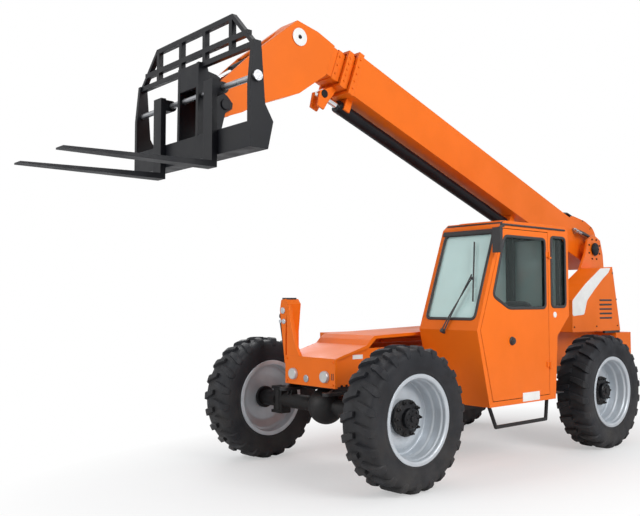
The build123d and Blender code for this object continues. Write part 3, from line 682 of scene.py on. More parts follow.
class TrimSettings(bpy.types.PropertyGroup):
    seal_width: bpy.props.FloatProperty(
        name="Seal width", description="Width of the window seals", default=0.030, unit="LENGTH",
    )
    bolt_radius: bpy.props.FloatProperty(
        name="Bolt radius", description="Radius of the bolt heads", default=0.013, unit="LENGTH",
    )
    bolt_height: bpy.props.FloatProperty(
        name="Bolt height", description="Height of the bolt heads", default=0.010, unit="LENGTH",
    )


class StudioSettings(bpy.types.PropertyGroup):
    key_power: bpy.props.FloatProperty(
        name="Key light", description="Power of the soft light on the cab's side", default=590.0,
        unit="POWER",
    )
    fill_power: bpy.props.FloatProperty(
        name="Fill light", description="Power of the light on the nose", default=300.0, unit="POWER",
    )
    sky: bpy.props.FloatProperty(
        name="Sky", description="Strength of the even light from all round", default=0.36, min=0.0,
    )


def wheel_frame(corner):
    """A wheel's centre and its outward direction."""
    centre = middle("hub_" + corner)
    centre[1] = middle("tyre_" + corner)[1]
    return centre, Y * np.sign(centre[1])


def tyre_shape(centre, outward, settings):
    """The carcass is a turned profile. A bar is one section carried from the tread's middle over the
    shoulder: at each station its base and top stand at (height across, radius), and its angle is
    place * pitch + sweep * across / radius."""
    half = [
        (0.3556, 0.120), (0.3556, 0.1585), (0.3886, 0.1585), (0.3886, 0.166), (0.402, 0.172),
        (0.415, 0.1705), (0.455, 0.179), (0.515, 0.1835), (0.560, 0.1795), (0.585, 0.160), (0.594, 0.115),
    ]
    whole = half + [(radius, -across) for radius, across in reversed(half)]
    carcass = turned(softened(whole, 0.016), centre, outward, 120)
    stations = np.array([
        # across at top, radius at top, across at base, radius at base, width share
        (0.006, 0.6240, 0.006, 0.575, 0.62),
        (0.070, 0.6245, 0.070, 0.575, 0.78),
        (0.128, 0.6225, 0.120, 0.570, 0.92),
        (0.160, 0.6110, 0.145, 0.560, 1.00),
        (0.1795, 0.5860, 0.158, 0.540, 1.00),
        (0.1845, 0.5560, 0.165, 0.520, 0.86),
        (0.1845, 0.5360, 0.170, 0.510, 0.60),
    ])
    half_section = [(-0.62, 0.0), (-0.50, 0.78), (-0.42, 1.0)]
    section = np.array(half_section + [(-around, level) for around, level in reversed(half_section)])
    top, base = stations[:, :2], stations[:, 2:4]
    level = section[None, :, 1:]
    across_radius = base[:, None] * (1 - level) + top[:, None] * level
    around = section[None, :, 0] * settings.lug_width * stations[:, 4:]
    sweep = settings.lug_sweep * (stations[:, None, 0] / 0.185) ** 1.3
    u, v = square_to(Y)
    pitch = 2 * np.pi / settings.lug_count
    bars = [carcass]
    for side, offset in ((1, 0.0), (-1, 0.5)):
        for place in range(settings.lug_count):
            angle = (place + offset) * pitch + (around + sweep) / 0.6
            radius = across_radius[..., 1]
            across = side * across_radius[..., 0]
            ring = np.cos(angle)[..., None] * u + np.sin(angle)[..., None] * v
            bars.append(skin(centre + radius[..., None] * ring + across[..., None] * Y))
    return joined(bars)


def rim_shape(centre, outward):
    """A deep dish: rolled lips, two ledges, a cone and the flat disc behind the hub, turned."""
    profile = [
        (0.3880, 0.170), (0.3880, 0.1592), (0.3552, 0.1592), (0.3552, -0.1592), (0.3880, -0.1592),
        (0.3880, -0.170), (0.3430, -0.170), (0.3430, -0.080), (0.3130, -0.080), (0.2400, -0.040),
        (0.1103, -0.040), (0.1103, -0.022), (0.2480, -0.022), (0.3080, -0.052), (0.3200, -0.052),
        (0.3200, 0.030), (0.3330, 0.048), (0.3330, 0.118), (0.3450, 0.132), (0.3450, 0.158), (0.3560, 0.170),
    ]
    radii = [0.005, 0, 0, 0, 0, 0.005, 0.01, 0.012, 0.01, 0.02, 0, 0, 0.03, 0.012, 0.01, 0.012, 0.01, 0.012]
    radii += [0.008, 0.008, 0.008]
    return turned(softened(profile, radii, 6), centre, outward, 120)


class TELEHANDLER_OT_finishes(bpy.types.Operator):
    """Makes every finish and paints the frame's nodes."""

    bl_idname = "telehandler.finishes"
    bl_label = "Finishes"

    def execute(self, context):
        grain_group()
        edge_group()
        dust_group()
        settings = context.scene.telehandler_finish
        for maker in FINISH_MAKERS:
            maker(settings)
        for look in PLAIN_FINISHES:
            plain_finish(settings, **{**look, "colour": look["colour"] or tuple(settings.wheel)})
        for name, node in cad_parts.items():
            finish = next(f for f, starts in NODE_FINISHES if name.startswith(starts))
            node.data.materials.clear()
            node.data.materials.append(FINISHES[finish][0])
        return {"FINISHED"}


class TELEHANDLER_OT_wheels(bpy.types.Operator):
    """Adds lugged tyres, dished rims, wheel nuts and hub bolts."""

    bl_idname = "telehandler.wheels"
    bl_label = "Wheels"

    def execute(self, context):
        settings = context.scene.telehandler_wheel
        for corner in CORNERS:
            centre, out = wheel_frame(corner)
            body = "wheel_" + corner
            tyre = tyre_shape(centre, out, settings)
            piece("lugged_tyre_" + corner, tyre, body, "tyre_rubber", 30, replaces=["tyre_" + corner])
            rim = rim_shape(centre, out)
            piece("dished_rim_" + corner, rim, body, "wheel_paint", 50, replaces=["rim_" + corner])
            u, v = square_to(out)
            turn = np.arange(settings.nut_count)[:, None] * 2 * np.pi / settings.nut_count
            ring = np.cos(turn) * u + np.sin(turn) * v
            nut_face, cover_face, cover_circle = 0.020, 0.095, 0.066
            seats = centre + settings.nut_circle * ring + nut_face * out
            nuts = [pegs(seats, out, 0.019, 0.026), pegs(seats, out, 0.010, 0.048, 12)]
            ledge = [(0.112, 0.014), (0.160, 0.014), (0.160, 0.024), (0.112, 0.034)]
            nuts.append(turned(ledge, centre, out, 60))
            piece("wheel_nuts_" + corner, joined(nuts), body, "cast_iron", bevel=0.0015)
            few = np.arange(8)[:, None] * np.pi / 4
            face = centre + cover_face * out
            spots = face + cover_circle * (np.cos(few) * u + np.sin(few) * v)
            cover = [pegs(spots, out, 0.008, 0.008), pegs(face, out, 0.030, 0.012, 24)]
            piece("hub_bolts_" + corner, joined(cover), body, "black_paint", bevel=0.001)
        return {"FINISHED"}


# The cab in metres: its door side, its boom side and its back, the planes of its floor and ceiling,
# and the screen's outward direction
DOOR_FACE, BOOM_FACE, CAB_BACK = 1.150, 0.440, -1.430
FLOOR, CEILING = 0.670, 2.370
SCREEN_OUT = np.array([0.995, 0.0, 0.370]) / math.hypot(0.995, 0.370)


def cab_edge(z):
    """The x of the cab's front skin at a height, down the screen's slope."""
    sill, brow = np.array([0.120, 1.355]), np.array([-0.250, 2.350])
    return sill[0] + (brow[0] - sill[0]) * (z - sill[1]) / (brow[1] - sill[1])


def window_seal(corners, normal, settings, proud=0.008):
    """A rubber strip round a window: an oval section carried round the rounded outline."""
    loop = softened(corners, 0.05, 7)
    return swept(loop, oval(settings.seal_width, 2 * proud, 10, 3.0), normal, closed=True)


class TELEHANDLER_OT_cab_trim(bpy.types.Operator):
    """Adds window seals, brow, wiper, roof ribs, gutter, mirror glass and the blank label."""

    bl_idname = "telehandler.cab_trim"
    bl_label = "Cab trim"

    def execute(self, context):
        self.seals(context.scene.telehandler_trim)
        self.wiper()
        self.roof()
        corners = [(0.585, 0.645), (0.870, 0.645), (0.870, 0.730), (0.585, 0.730)]
        label = plate(corners, Y * (DOOR_FACE - 0.0005), -X, Z, 0.0, 0.003)
        piece("blank_label", label, "door", "pale_decal")
        dot = pegs((-1.165, DOOR_FACE, 1.489), Y, 0.030, 0.006, 32)
        piece("blank_dot", dot, "chassis", "pale_decal")
        corners = [(1.166, 2.102), (1.236, 2.102), (1.236, 2.318), (1.166, 2.318)]
        glass = plate(corners, X * -0.1595, Y, Z, -0.003, 0.0)
        piece("mirror_pane", glass, "chassis", "mirror_glass", bevel=0.001)
        handle = middle("door_handle")
        profile = [(0.030, -0.012), (0.042, -0.012), (0.042, -0.006), (0.033, 0.004)]
        bezel = [turned(profile, handle, Y, 40), pegs(handle + Y * 0.010, Y, 0.016, 0.006, 24)]
        piece("handle_bezel", joined(bezel), "door", "black_plastic")
        return {"FINISHED"}

    def seals(self, settings):
        """A seal round each window, and the strip over the screen."""
        inner, outer = low("cab_shell")[1] + 0.17, 1.09
        bottom, top = 1.46, 2.29
        rows = ((inner, bottom), (outer, bottom), (outer, top), (inner, top))
        screen = [(cab_edge(z), y, z) for y, z in rows]
        door = [(-0.13, 1.68), (-0.32, 2.26), (-1.0, 2.26), (-1.0, 1.56), (-0.38, 1.56)]
        quarter = [(-1.11, 1.57), (-1.11, 2.29), (-1.37, 2.29), (-1.37, 1.57)]
        side = [(-1.28, 1.5), (-0.38, 1.5), (-0.38, 2.29), (-1.28, 2.29)]
        rear = [(CAB_BACK, y, z) for y, z in ((inner, 1.56), (outer, 1.56), (outer, 2.29), (inner, 2.29))]
        fixed = [
            (screen, SCREEN_OUT),
            ([(x, DOOR_FACE, z) for x, z in quarter], Y),
            ([(x, BOOM_FACE, z) for x, z in side], -Y),
            (rear, -X),
        ]
        seals = joined([window_seal(corners, normal, settings) for corners, normal in fixed])
        piece("window_seals", seals, "chassis", "black_plastic", 60)
        door_seal = window_seal([(x, DOOR_FACE, z) for x, z in door], Y, settings)
        piece("door_seal", door_seal, "door", "black_plastic", 60)
        ends = [(cab_edge(2.305), y, 2.305) for y in (inner - 0.03, outer + 0.03)]
        brow = strip(*ends, oval(0.05, 0.034, 12, 4.0), SCREEN_OUT)
        piece("screen_brow", brow, "chassis", "black_plastic")

    def wiper(self):
        """Two parallel arms from a spindle under the sill to the blade on the screen."""
        foot = np.array([cab_edge(1.36) - 0.012, 0.745, 1.335])
        elbow = np.array([cab_edge(1.84), 0.976, 1.84]) + SCREEN_OUT * 0.030
        blade_top = np.array([cab_edge(2.20), 0.898, 2.20]) + SCREEN_OUT * 0.018
        blade_foot = np.array([cab_edge(1.62), 1.040, 1.62]) + SCREEN_OUT * 0.018
        parts = [peg(foot - SCREEN_OUT * 0.03, foot + SCREEN_OUT * 0.045, 0.022)]
        for shift in (0.0, 0.035):
            start = foot + SCREEN_OUT * 0.040 + Y * shift
            end = elbow + Z * shift
            path = smooth_path([start, start * 0.8 + end * 0.2 + SCREEN_OUT * 0.012, end], 6, 0.2)
            parts.append(swept(path, oval(0.016, 0.008), SCREEN_OUT))
        parts.append(swept(np.linspace(blade_foot, blade_top, 12), oval(0.014, 0.020), SCREEN_OUT))
        parts.append(peg(elbow - SCREEN_OUT * 0.02, elbow + SCREEN_OUT * 0.012, 0.014))
        piece("wiper", joined(parts), "chassis", "black_plastic", 50)

    def roof(self):
        """A pressed roof panel with long ribs, and a drip gutter over the door."""
        roof_top = high("cab_shell")[2]
        corners = softened([(-1.32, 0.50), (-0.38, 0.50), (-0.38, 1.09), (-1.32, 1.09)], 0.10, 8)
        panel = [plate(corners, Z * roof_top, X, Y, -0.004, 0.012)]
        for y in np.linspace(0.59, 1.00, 5):
            ends = [(x, y, roof_top + 0.012) for x in (-1.24, -0.46)]
            panel.append(strip(*ends, oval(0.045, 0.022, 12), Z))
        piece("roof_panel", joined(panel), "chassis", "machine_paint", bevel=0.004)
        gutter = strip((-0.30, 1.156, 2.372), (-1.36, 1.156, 2.372), oval(0.018, 0.020), Z)
        piece("drip_gutter", gutter, "chassis", "black_plastic")


class TELEHANDLER_OT_cab_inside(bpy.types.Operator):
    """Adds the seat's cushions, its bellows, the steering wheel and the hand lever."""

    bl_idname = "telehandler.cab_inside"
    bl_label = "Cab inside"

    def execute(self, context):
        self.lining()
        self.seat()
        self.steering()
        return {"FINISHED"}

    def lining(self):
        """Black headliner, floor mat, lower panels, pillar covers and a dash shelf."""
        room = [(-1.385, 0.482), (0.06, 0.482), (0.06, 1.105), (-1.385, 1.105)]
        mat = [(min(x, -0.13), y) for x, y in room]
        head = [(min(x, -0.35), y) for x, y in room]
        right = [
            (-1.12, 0.68), (-0.13, 0.68), (0.03, 1.355), (0.0, 1.47), (-1.38, 1.47), (-1.38, 1.50),
            (-1.15, 1.30),
        ]
        back = [(0.50, 1.50), (1.10, 1.50), (1.10, 1.545), (0.50, 1.545)]
        shelf = [(-0.10, 1.385), (0.060, 1.385), (0.045, 1.425), (-0.085, 1.410)]
        panels = [
            plate(mat, Z * FLOOR, X, Y, 0.0005, 0.012),
            plate(head, Z * CEILING, X, Y, -0.020, -0.0005),
            plate(right, Y * 0.4805, X, Z, -0.010, 0.0),
            plate(back, X * -1.389, Y, Z, 0.0, 0.010),
            plate(shelf, Y * 0.80, X, Z, -0.29, 0.29),
        ]
        for x, y in ((-1.335, 0.50), (-1.335, 1.09), (-0.335, 0.50)):
            panels.append(strip((x, y, 1.48), (x, y, 2.34), oval(0.055, 0.040, 12, 5.0), X))
        ends = [(cab_edge(z) - 0.075, 0.505, z) for z in (1.44, 2.34)]
        panels.append(strip(*ends, oval(0.050, 0.040, 12, 5.0), X))
        piece("cab_lining", joined(panels), "chassis", "black_plastic", bevel=0.002)

    def seat(self):
        """Crowned cushions: one flat, one turned upright with side bolsters, over ribbed bellows."""
        seat_low, seat_high = low("seat"), high("seat")
        width = (seat_high[1] - seat_low[1]) / 2 - 0.01
        centre = middle("seat")
        place = np.array([seat_high[0] - 0.225, centre[1], 0.955])
        cushion = pillow(place, (0.22, width, 0.052), 4.0, 0.22)
        bolsters = [
            pillow(place + Y * side * (width - 0.03) + Z * 0.02, (0.20, 0.04, 0.05), 2.6, 0.1)
            for side in (-1, 1)
        ]
        shape = joined([cushion] + bolsters)
        sat = piece("seat_cushion", shape, "chassis", "seat_cloth", 80, replaces=["seat"])
        back_place = np.array([seat_low[0] + 0.058, centre[1], 1.30])
        back = rotated(pillow(back_place, (0.33, width, 0.050), 4.0, 0.22), back_place, Y, 90)
        sides = []
        for side in (-1, 1):
            spot = back_place + Y * side * (width - 0.035) + X * 0.02
            sides.append(rotated(pillow(spot, (0.26, 0.04, 0.045), 2.6, 0.1), spot, Y, 90))
        leaned = piece("seat_back", joined([back] + sides), "chassis", "seat_cloth", 80)
        wave = np.arange(12)
        folds = np.stack([0.145 + 0.012 * (wave % 2), 0.675 + 0.225 * wave / 11], axis=1)
        outline = np.concatenate([[(0.02, 0.672)], folds, [(0.02, 0.902)]])
        base = turned(outline, np.array([place[0] - 0.01, centre[1], 0.0]), Z, 48)
        piece("seat_bellows", base, "chassis", "black_plastic", 60)

    def steering(self):
        """A ring with three spokes on a raked column, a dash console and a lever."""
        axis = np.array([-0.110, 0.0, 0.090]) / math.hypot(0.110, 0.090)
        hub = np.array([-0.430, 0.800, 1.330])
        rim = oval(0.026, 0.026, 12) + np.array([0.176, 0.0])
        parts = [turned(rim, hub + axis * 0.005, axis, 48), peg(hub - axis * 0.03, hub + axis * 0.012, 0.040)]
        u, v = square_to(axis)
        for degrees in (90, 210, 330):
            a = math.radians(degrees)
            way = math.cos(a) * u + math.sin(a) * v
            parts.append(strip(hub + way * 0.03, hub + way * 0.17, oval(0.022, 0.010), axis))
        parts.append(peg(hub - axis * 0.02, (-0.315, 0.800, 1.20), 0.028))
        console = [(-0.36, 0.672), (-0.26, 0.672), (-0.24, 1.20), (-0.27, 1.29), (-0.345, 1.22)]
        parts.append(plate(softened(console, 0.03), Y * 0.800, X, Z, -0.10, 0.10))
        parts.append(peg((-0.62, 0.545, 0.90), (-0.60, 0.545, 1.13), 0.010))
        parts.append(pillow(np.array([-0.60, 0.545, 1.15]), (0.022, 0.022, 0.04), 2.4, 0.0, 12, 20))
        console = [(-0.95, 0.672), (-0.50, 0.672), (-0.50, 0.86), (-0.95, 0.92)]
        parts.append(plate(softened(console, 0.03), Y * 0.545, X, Z, -0.045, 0.045))
        controls = joined(parts)
        replaced = ["steering_column"]
        piece("steering_controls", controls, "chassis", "black_plastic", bevel=0.003, replaces=replaced)


# The boom's pivot (x, z) and its lean as packed
BOOM_PIVOT = (-3.380, 2.300)
BOOM_LEAN = math.radians(20.0)


def boom_point(along, across, y=0.0):
    """A point by its distance along and across the boom."""
    c, s = math.cos(BOOM_LEAN), math.sin(BOOM_LEAN)
    return np.array([BOOM_PIVOT[0] + along * c - across * s, y, BOOM_PIVOT[1] + along * s + across * c])


BOOM = boom_point(1, 0) - boom_point(0, 0)
BOOM_UP = boom_point(0, 1) - boom_point(0, 0)


class TELEHANDLER_OT_boom_trim(bpy.types.Operator):
    """Adds collar bolts, the inner collar, the pivot's covers, hose guides and the head's discs."""

    bl_idname = "telehandler.boom_trim"
    bl_label = "Boom trim"

    def execute(self, context):
        settings = context.scene.telehandler_trim
        # Each collar's place along the boom, its half width, its underside and its top
        self.collar_bolts("outer_boom", 4.405, 0.196, -0.176, 0.286, settings)
        self.collar_bolts("mid_boom", 4.505, 0.162, -0.142, 0.252, settings)
        self.inner_collar(settings)
        self.tail()
        self.head()
        return {"FINISHED"}

    def collar_bolts(self, body, along, half, bottom, top, settings):
        """Pad screws down both sides and over the top of one collar."""
        levels = np.linspace(bottom + 0.07, top - 0.07, 5)
        parts = []
        for side in (-1, 1):
            spots = [boom_point(along, level, side * half) for level in levels]
            parts.append(pegs(spots, Y * side, settings.bolt_radius, settings.bolt_height))
        over = [boom_point(along, top, y) for y in (-0.6 * half, 0, 0.6 * half)]
        parts.append(pegs(over, BOOM_UP, settings.bolt_radius, settings.bolt_height))
        piece(body + "_pad_screws", joined(parts), body, "machine_paint", bevel=0.001)

    def inner_collar(self, settings):
        """The third raised band, round the fly section, with its own screws."""
        place, half, bottom, top, rise = 4.605, 0.114, -0.094, 0.204, 0.014
        corners = [(-half, bottom), (half, bottom), (half, top), (-half, top)]
        loop = np.array([boom_point(place, t, y) for y, t in softened(corners, 0.012, 4)])
        section = np.array([(-0.03, -0.004), (0.03, -0.004), (0.03, rise), (-0.03, rise)])
        outward = loop - boom_point(place, (bottom + top) / 2)
        outward /= np.linalg.norm(outward, axis=1)[:, None]
        rings = loop[:, None] + section[None, :, :1] * BOOM + section[None, :, 1:] * outward[:, None]
        spots = [boom_point(place, t, half + 0.012) for t in (-0.04, 0.055, 0.15)]
        screws = pegs(spots, Y, settings.bolt_radius * 0.8, settings.bolt_height)
        piece("fly_collar", joined([ring_skin(rings), screws]), "fly_boom", "machine_paint", bevel=0.002)

    def tail(self):
        """Covers on the boom's pivot pin, hose guide plates, and the short hoses over the tail."""
        pivot = boom_point(0, 0)
        covers = []
        cap = [(0.0005, -0.004), (0.082, -0.004), (0.082, 0.008), (0.070, 0.014), (0.0005, 0.014)]
        for side in (-1, 1):
            out = Y * side
            face = pivot + out * 0.345
            covers.append(turned(cap, face, out, 48))
            turns = np.arange(6) * math.pi / 3
            ring = [face + 0.060 * (math.cos(a) * X + math.sin(a) * Z) + out * 0.010 for a in turns]
            covers.append(pegs(ring, out, 0.009, 0.010))
        piece("pivot_covers", joined(covers), "chassis", "black_paint", 30)
        outline = [(-0.26, 0.262), (0.42, 0.262), (0.36, 0.34), (0.05, 0.395), (-0.16, 0.385), (-0.26, 0.32)]
        outline = softened(outline, 0.05)
        guides = [plate(outline, boom_point(0, 0, y), BOOM, BOOM_UP, -0.010, 0.0) for y in (-0.150, 0.140)]
        piece("hose_guides", joined(guides), "outer_boom", "machine_paint", bevel=0.002)
        loops, ends = [], []
        route = [
            (0.34, 0.150), (0.16, 0.190), (-0.08, 0.215), (-0.27, 0.160), (-0.345, 0.02), (-0.30, -0.11),
            (-0.16, -0.150),
        ]
        wall = 0.178
        for place, y in enumerate((0.202, 0.232, 0.262)):
            bent = [boom_point(s * (1 - 0.06 * place), t * (1 - 0.12 * place), y) for s, t in route]
            loops.append(swept(smooth_path(bent, 8, 0.09), oval(0.026, 0.026, 14), Y))
            for first, second in ((bent[0], bent[1]), (bent[-1], bent[-2])):
                way = (second - first) / np.linalg.norm(second - first)
                ends.append(peg(first - way * 0.012, first + way * 0.055, 0.018, 6))
            for end in (bent[0], bent[-1]):
                ends.append(peg(end - Y * (y - wall), end, 0.012, 12))
        piece("tail_hoses", joined(loops), "outer_boom", "hose_rubber", 60)
        piece("tail_hose_ends", joined(ends), "outer_boom", "bright_steel", 40)
        bars = [(-0.12, 0.372, 0.152), (0.10, 0.372, 0.152), (-0.10, 0.345, 0.15)]
        bars = [peg(boom_point(s, t, -half), boom_point(s, t, half), 0.011) for s, t, half in bars]
        piece("guide_rollers", joined(bars), "outer_boom", "black_paint")

    def head(self):
        """White ring plates round the tilt cylinder's pin, dark pin ends, and caps on the head's pins."""
        tilt_pin, carriage_pin = np.array([1.409, 0.0, 4.096]), np.array([2.260, 0.0, 3.310])
        plate_profile = [
            (0.0005, 0.004), (0.066, 0.004), (0.066, -0.004), (0.068, -0.004), (0.084, 0.006),
            (0.084, 0.009), (0.0005, 0.011),
        ]
        rings, fly_ends, rod_ends = [], [], []
        for side in (-1, 1):
            out = Y * side
            face = tilt_pin + out * 0.125
            rings.append(turned(plate_profile, face, out, 48))
            fly_ends.append(pegs(face + out * 0.009, out, 0.020, 0.008, 24))
            fly_ends.append(pegs(carriage_pin + out * 0.172, out, 0.048, 0.010, 32))
            rod_ends.append(pegs(boom_point(4.610, -0.255, side * 0.058), out, 0.040, 0.008, 32))
        piece("pin_rings", joined(rings), "fly_boom", "pale_decal", 40)
        piece("head_pin_ends", joined(fly_ends), "fly_boom", "black_paint")
        piece("rod_pin_ends", joined(rod_ends), "mid_boom", "black_paint")


# The outer face of the frame's side plates
FRAME_FACE = 0.330


class TELEHANDLER_OT_chassis_trim(bpy.types.Operator):
    """Adds the nose's bolts and lamp rings, frame bolts, louvres, latches, stripe and tail lamps."""

    bl_idname = "telehandler.chassis_trim"
    bl_label = "Chassis trim"

    def execute(self, context):
        settings = context.scene.telehandler_trim
        self.nose(settings)
        self.frame_bolts(settings)
        self.pod()
        self.rear(settings)
        return {"FINISHED"}

    def nose(self, settings):
        """Bolts at the front plate's edges, slots, rings round the lamps, the tow plug and a blank plate."""
        front = high("front_deck")[0]
        spots = [(front, y, z) for y in (-0.335, 0.335) for z in (0.86, 1.07)]
        bolts = pegs(spots, X, settings.bolt_radius * 0.8, settings.bolt_height)
        piece("nose_bolts", bolts, "chassis", "machine_paint", bevel=0.001)
        slots = [strip((front, y, 0.905), (front, y, 0.965), oval(0.010, 0.006), X) for y in (0.318, 0.338)]
        piece("nose_slots", joined(slots), "chassis", "black_plastic", 60)
        profile = [(0.046, 0.0), (0.055, 0.0), (0.055, 0.020), (0.051, 0.031), (0.046, 0.031)]
        rings = [turned(profile, np.array([front, side * 0.23, 0.93]), X, 48) for side in (-1, 1)]
        piece("lamp_rings", joined(rings), "chassis", "wheel_paint", 50)
        plug = pegs((front, -0.045, 0.895), X, 0.036, 0.010, 32)
        piece("tow_plug", plug, "chassis", "bright_steel", bevel=0.002)
        self.tower()
        corners = [(0.80, 1.085), (0.93, 1.085), (0.93, 1.125), (0.80, 1.125)]
        piece("blank_plate", plate(corners, Y * FRAME_FACE, X, Z, -0.003, 0.0), "chassis", "pale_decal")

    def tower(self):
        """A gusset from the sway tower down to the nose, its cap, and its pale pins."""
        front, top = high("sway_tower")[0], high("sway_tower")[2]
        outline = [
            (-0.345, 1.095), (-0.345, 1.60), (-0.315, 1.585), (-0.285, 1.42), (-0.215, 1.20), (-0.150, 1.095),
        ]
        gusset = plate(softened(outline, [0, 0, 0.03, 0.1, 0.1, 0]), X * front, Y, Z, -0.040, -0.001)
        piece("tower_gusset", gusset, "chassis", "machine_paint", bevel=0.004)
        corners = [(1.03, -0.445), (1.165, -0.445), (1.165, -0.370), (1.03, -0.370)]
        cap = plate(softened(corners, 0.015), Z * top, X, Y, -0.012, 0.012)
        piece("tower_cap", cap, "chassis", "black_plastic", bevel=0.002)
        # across, height, radius and how far each pin stands out
        pins = ((-0.402, 1.535, 0.032, 0.014), (-0.385, 1.43, 0.026, 0.014), (-0.440, 1.43, 0.020, 0.012))
        shape = joined([pegs((front, y, z), X, radius, proud, 28) for y, z, radius, proud in pins])
        piece("tower_pins", shape, "chassis", "wheel_paint", bevel=0.002)

    def frame_bolts(self, settings):
        """Bolts through the side plates: over each axle, and in a circle round the boom's pivot."""
        spots = [(x, 0.845) for x in (0.87, 0.93, 1.01, 1.07, -2.31, -2.25, -2.17, -2.11)]
        for a in np.arange(8) * math.pi / 4 + 0.4:
            spots.append((BOOM_PIVOT[0] + 0.135 * math.cos(a), BOOM_PIVOT[1] + 0.135 * math.sin(a)))
        parts = []
        for side in (-1, 1):
            places = [(x, side * FRAME_FACE, z) for x, z in spots]
            parts.append(pegs(places, Y * side, settings.bolt_radius, settings.bolt_height))
        piece("frame_bolts", joined(parts), "chassis", "black_paint", bevel=0.001)

    def pod(self):
        """Louvres on the engine pod's outer face, and two rubber latches on the hood."""
        side = low("engine_pod")[1]
        slat = [(-0.004, -0.012), (0.010, -0.012), (0.002, 0.012), (-0.004, 0.012)]
        slats = []
        for rear, front in ((-1.28, -0.98), (-0.90, -0.60), (-0.52, -0.22)):
            slats += [strip((rear, side, z), (front, side, z), slat, Z) for z in np.linspace(0.74, 1.08, 9)]
        piece("pod_louvres", joined(slats), "chassis", "machine_paint", bevel=0.001)
        places = [np.array([x, side - 0.004, 1.205]) for x in (-1.10, -0.20)]
        latches = joined([pillow(place, (0.022, 0.012, 0.045), 3.5, 0.0, 12, 20) for place in places])
        piece("hood_latches", latches, "hood", "black_plastic", 60)

    def rear(self, settings):
        """A blank white sweep on each cover, slots, cover screws, gaskets and the tail lamps."""
        half = high("rear_covers")[1]
        sweep = softened([
            (-2.366, 1.45), (-2.62, 1.466), (-2.69, 1.635), (-2.86, 1.766), (-3.054, 1.90), (-3.20, 1.985),
            (-3.25, 2.048), (-3.012, 2.032), (-2.652, 1.832), (-2.366, 1.634),
        ], 0.03)
        bands = [plate(sweep, Y * half, X, Z, -0.0025, 0.001), plate(sweep, Y * -half, X, Z, -0.001, 0.0025)]
        piece("white_sweeps", joined(bands), "chassis", "pale_decal")
        corners = ((-2.40, 1.32), (-2.90, 1.32), (-3.40, 1.32), (-3.30, 1.98), (-3.38, 1.65))
        lens = [(0.0005, 0.0), (0.045, 0.0), (0.045, 0.014), (0.030, 0.022), (0.0005, 0.025)]
        shell = [(0.045, -0.002), (0.056, -0.002), (0.056, 0.014), (0.045, 0.018)]
        screws, slots, strips, lamps, shells = [], [], [], [], []
        for side in (-1, 1):
            spots = [(x, side * half, z) for x, z in corners]
            screws.append(pegs(spots, Y * side, settings.bolt_radius * 0.8, settings.bolt_height * 0.7))
            y = side * (half + 0.002)
            for z in 1.42 + 0.055 * np.arange(5):
                slots.append(strip((-3.26, y, z), (-2.98, y, z), oval(0.010, 0.022, 10), Z))
            y = side * 0.60
            strips.append(strip((-3.468, y, 1.245), (-3.10, y, 1.245), oval(0.03, 0.034, 10, 5.0), Z))
            back = np.array([-3.730, side * 0.50, 1.12])
            lamps.append(turned(lens, back, -X, 40))
            shells.append(turned(shell, back, -X, 40))
        piece("cover_screws", joined(screws), "chassis", "black_paint", bevel=0.001)
        piece("cover_slots", joined(slots), "chassis", "black_plastic", 60)
        piece("cover_gaskets", joined(strips), "chassis", "black_plastic", 60)
        piece("tail_lamps", joined(lamps), "chassis", "lamp_red", 50)
        piece("tail_lamp_shells", joined(shells), "chassis", "black_plastic", 50)


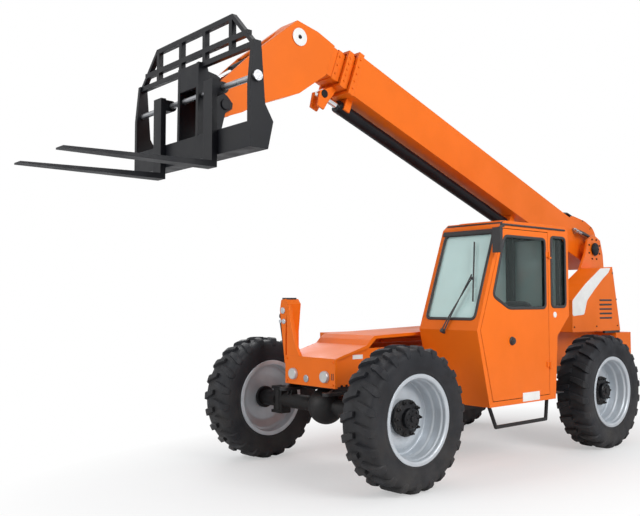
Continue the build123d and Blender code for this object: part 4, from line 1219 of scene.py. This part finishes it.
class TELEHANDLER_OT_stage(bpy.types.Operator):
    """Adds the pale floor, the even sky, the soft lamps and the camera."""

    bl_idname = "telehandler.stage"
    bl_label = "Stage"

    def execute(self, context):
        studio = context.scene.telehandler_studio
        self.floor()
        self.sky(studio)
        self.lamp("Key", (0.5, 9.0, 6.0), 5.0, studio.key_power)
        self.lamp("Fill", (9.5, -1.5, 4.5), 5.0, studio.fill_power)
        self.lamp("Top", (-1.0, 1.0, 10.0), 6.0, 60.0)
        self.lamp("Back fill", (-3.0, -9.0, 5.0), 5.0, 200.0)
        camera_data = bpy.data.cameras.new("Camera")
        camera_data.sensor_width = 36.0
        camera_data.lens = 44.33
        camera = linked("Camera", camera_data)
        # Solved from the photo's four wheels
        camera.location = (6.005, 5.738, 1.632)
        yaw, pitch = math.radians(-130.83), math.radians(3.107)
        aim = Vector((math.cos(yaw) * math.cos(pitch), math.sin(yaw) * math.cos(pitch), math.sin(pitch)))
        camera.rotation_euler = aim.to_track_quat("-Z", "Y").to_euler()
        context.scene.camera = camera
        context.scene.view_settings.view_transform = "Standard"
        return {"FINISHED"}

    def floor(self):
        """A wide flat floor: matt near the machine for its shadow, plain white further off."""
        edge = np.linspace(-60.0, 60.0, 9)
        grid = np.stack(np.meshgrid(edge, edge, indexing="ij") + [np.full((9, 9), -0.0005)], axis=-1)
        points, faces = skin(grid, wrap=False, ends=False)
        mesh = bpy.data.meshes.new("floor")
        mesh.from_pydata(points.tolist(), [], faces)
        made = linked("floor", mesh)
        finish = Finish("studio_floor", (0.90, 0.90, 0.90), 0.85)
        finish.grained(0.8, 20.0, 0.985, 0.05, 0.0002)
        finish.feed(finish.shader.inputs["Base Color"], finish.surface)
        place = finish.add("ShaderNodeTexCoord").outputs["Object"]
        squeezed = finish.add(
            "ShaderNodeMapping", {"Vector": place, "Location": (0.15, 0.0, 0.0), "Scale": (0.28, 0.50, 1.0)},
        )
        length = finish.add("ShaderNodeVectorMath", {0: squeezed.outputs[0]}, operation="LENGTH")
        distance = length.outputs["Value"]
        far = finish.between(distance, 0.7, 1.35, 0.42, 1.0)
        seen = finish.add("ShaderNodeLightPath")
        glow = finish.add("ShaderNodeEmission", {"Strength": 1.0})
        share = finish.product(far, seen.outputs["Is Camera Ray"])
        finish.feed(finish.output.inputs["Surface"], finish.mixed(share, finish.shader, glow))
        mesh.materials.append(finish.material)

    def sky(self, studio):
        """An even sky that camera, mirror and glass rays see as white."""
        world = bpy.data.worlds.new("Studio")
        world.use_nodes = True
        bpy.context.scene.world = world
        write = NodeWriter(world.node_tree)
        write.tree.nodes.clear()
        light = write.add("ShaderNodeBackground", {"Strength": studio.sky})
        light.inputs["Color"].default_value = (0.93, 0.96, 1.0, 1.0)
        white = write.add("ShaderNodeBackground", {"Strength": 1.0})
        white.inputs["Color"].default_value = (1.0, 1.0, 1.0, 1.0)
        seen = write.add("ShaderNodeLightPath").outputs
        sees_white = seen["Is Camera Ray"]
        for ray in ("Is Glossy Ray", "Is Transmission Ray"):
            sees_white = write.arithmetic("MAXIMUM", sees_white, seen[ray])
        output = write.add("ShaderNodeOutputWorld")
        write.feed(output.inputs["Surface"], write.mixed(sees_white, light, white))

    def lamp(self, name, place, size, power):
        """A square soft lamp aimed at the machine's middle."""
        data = bpy.data.lights.new(name, "AREA")
        data.size = size
        data.energy = power
        made = linked(name, data)
        made.location = place
        aim = Vector((-0.3, 0.0, 1.4)) - Vector(place)
        made.rotation_euler = aim.to_track_quat("-Z", "Y").to_euler()


class TELEHANDLER_PT_panel(bpy.types.Panel):
    """Lists the sizes, colours and steps of the telehandler."""

    bl_idname = "TELEHANDLER_PT_panel"
    bl_label = "Telehandler"
    bl_space_type = "VIEW_3D"
    bl_region_type = "UI"
    bl_category = "Telehandler"

    def draw(self, context):
        for group in SETTINGS:
            settings = getattr(context.scene, group)
            for name in settings.__annotations__:
                self.layout.prop(settings, name)
        for operator in OPERATORS:
            self.layout.operator(operator.bl_idname)


SETTINGS = {
    "telehandler_finish": FinishSettings,
    "telehandler_wheel": WheelSettings,
    "telehandler_trim": TrimSettings,
    "telehandler_studio": StudioSettings,
}
OPERATORS = (
    TELEHANDLER_OT_finishes,
    TELEHANDLER_OT_wheels,
    TELEHANDLER_OT_cab_trim,
    TELEHANDLER_OT_cab_inside,
    TELEHANDLER_OT_boom_trim,
    TELEHANDLER_OT_chassis_trim,
    TELEHANDLER_OT_stage,
)


def register():
    for cls in (*SETTINGS.values(), *OPERATORS, TELEHANDLER_PT_panel):
        bpy.utils.register_class(cls)
    for name, cls in SETTINGS.items():
        setattr(bpy.types.Scene, name, bpy.props.PointerProperty(type=cls))


def unregister():
    for name in SETTINGS:
        delattr(bpy.types.Scene, name)
    for cls in (TELEHANDLER_PT_panel, *reversed(OPERATORS), *SETTINGS.values()):
        bpy.utils.unregister_class(cls)


def main():
    """Registers the add-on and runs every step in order."""
    register()
    bpy.ops.telehandler.finishes()
    bpy.ops.telehandler.wheels()
    bpy.ops.telehandler.cab_trim()
    bpy.ops.telehandler.cab_inside()
    bpy.ops.telehandler.boom_trim()
    bpy.ops.telehandler.chassis_trim()
    bpy.ops.telehandler.stage()


if __name__ == "__main__":
    main()
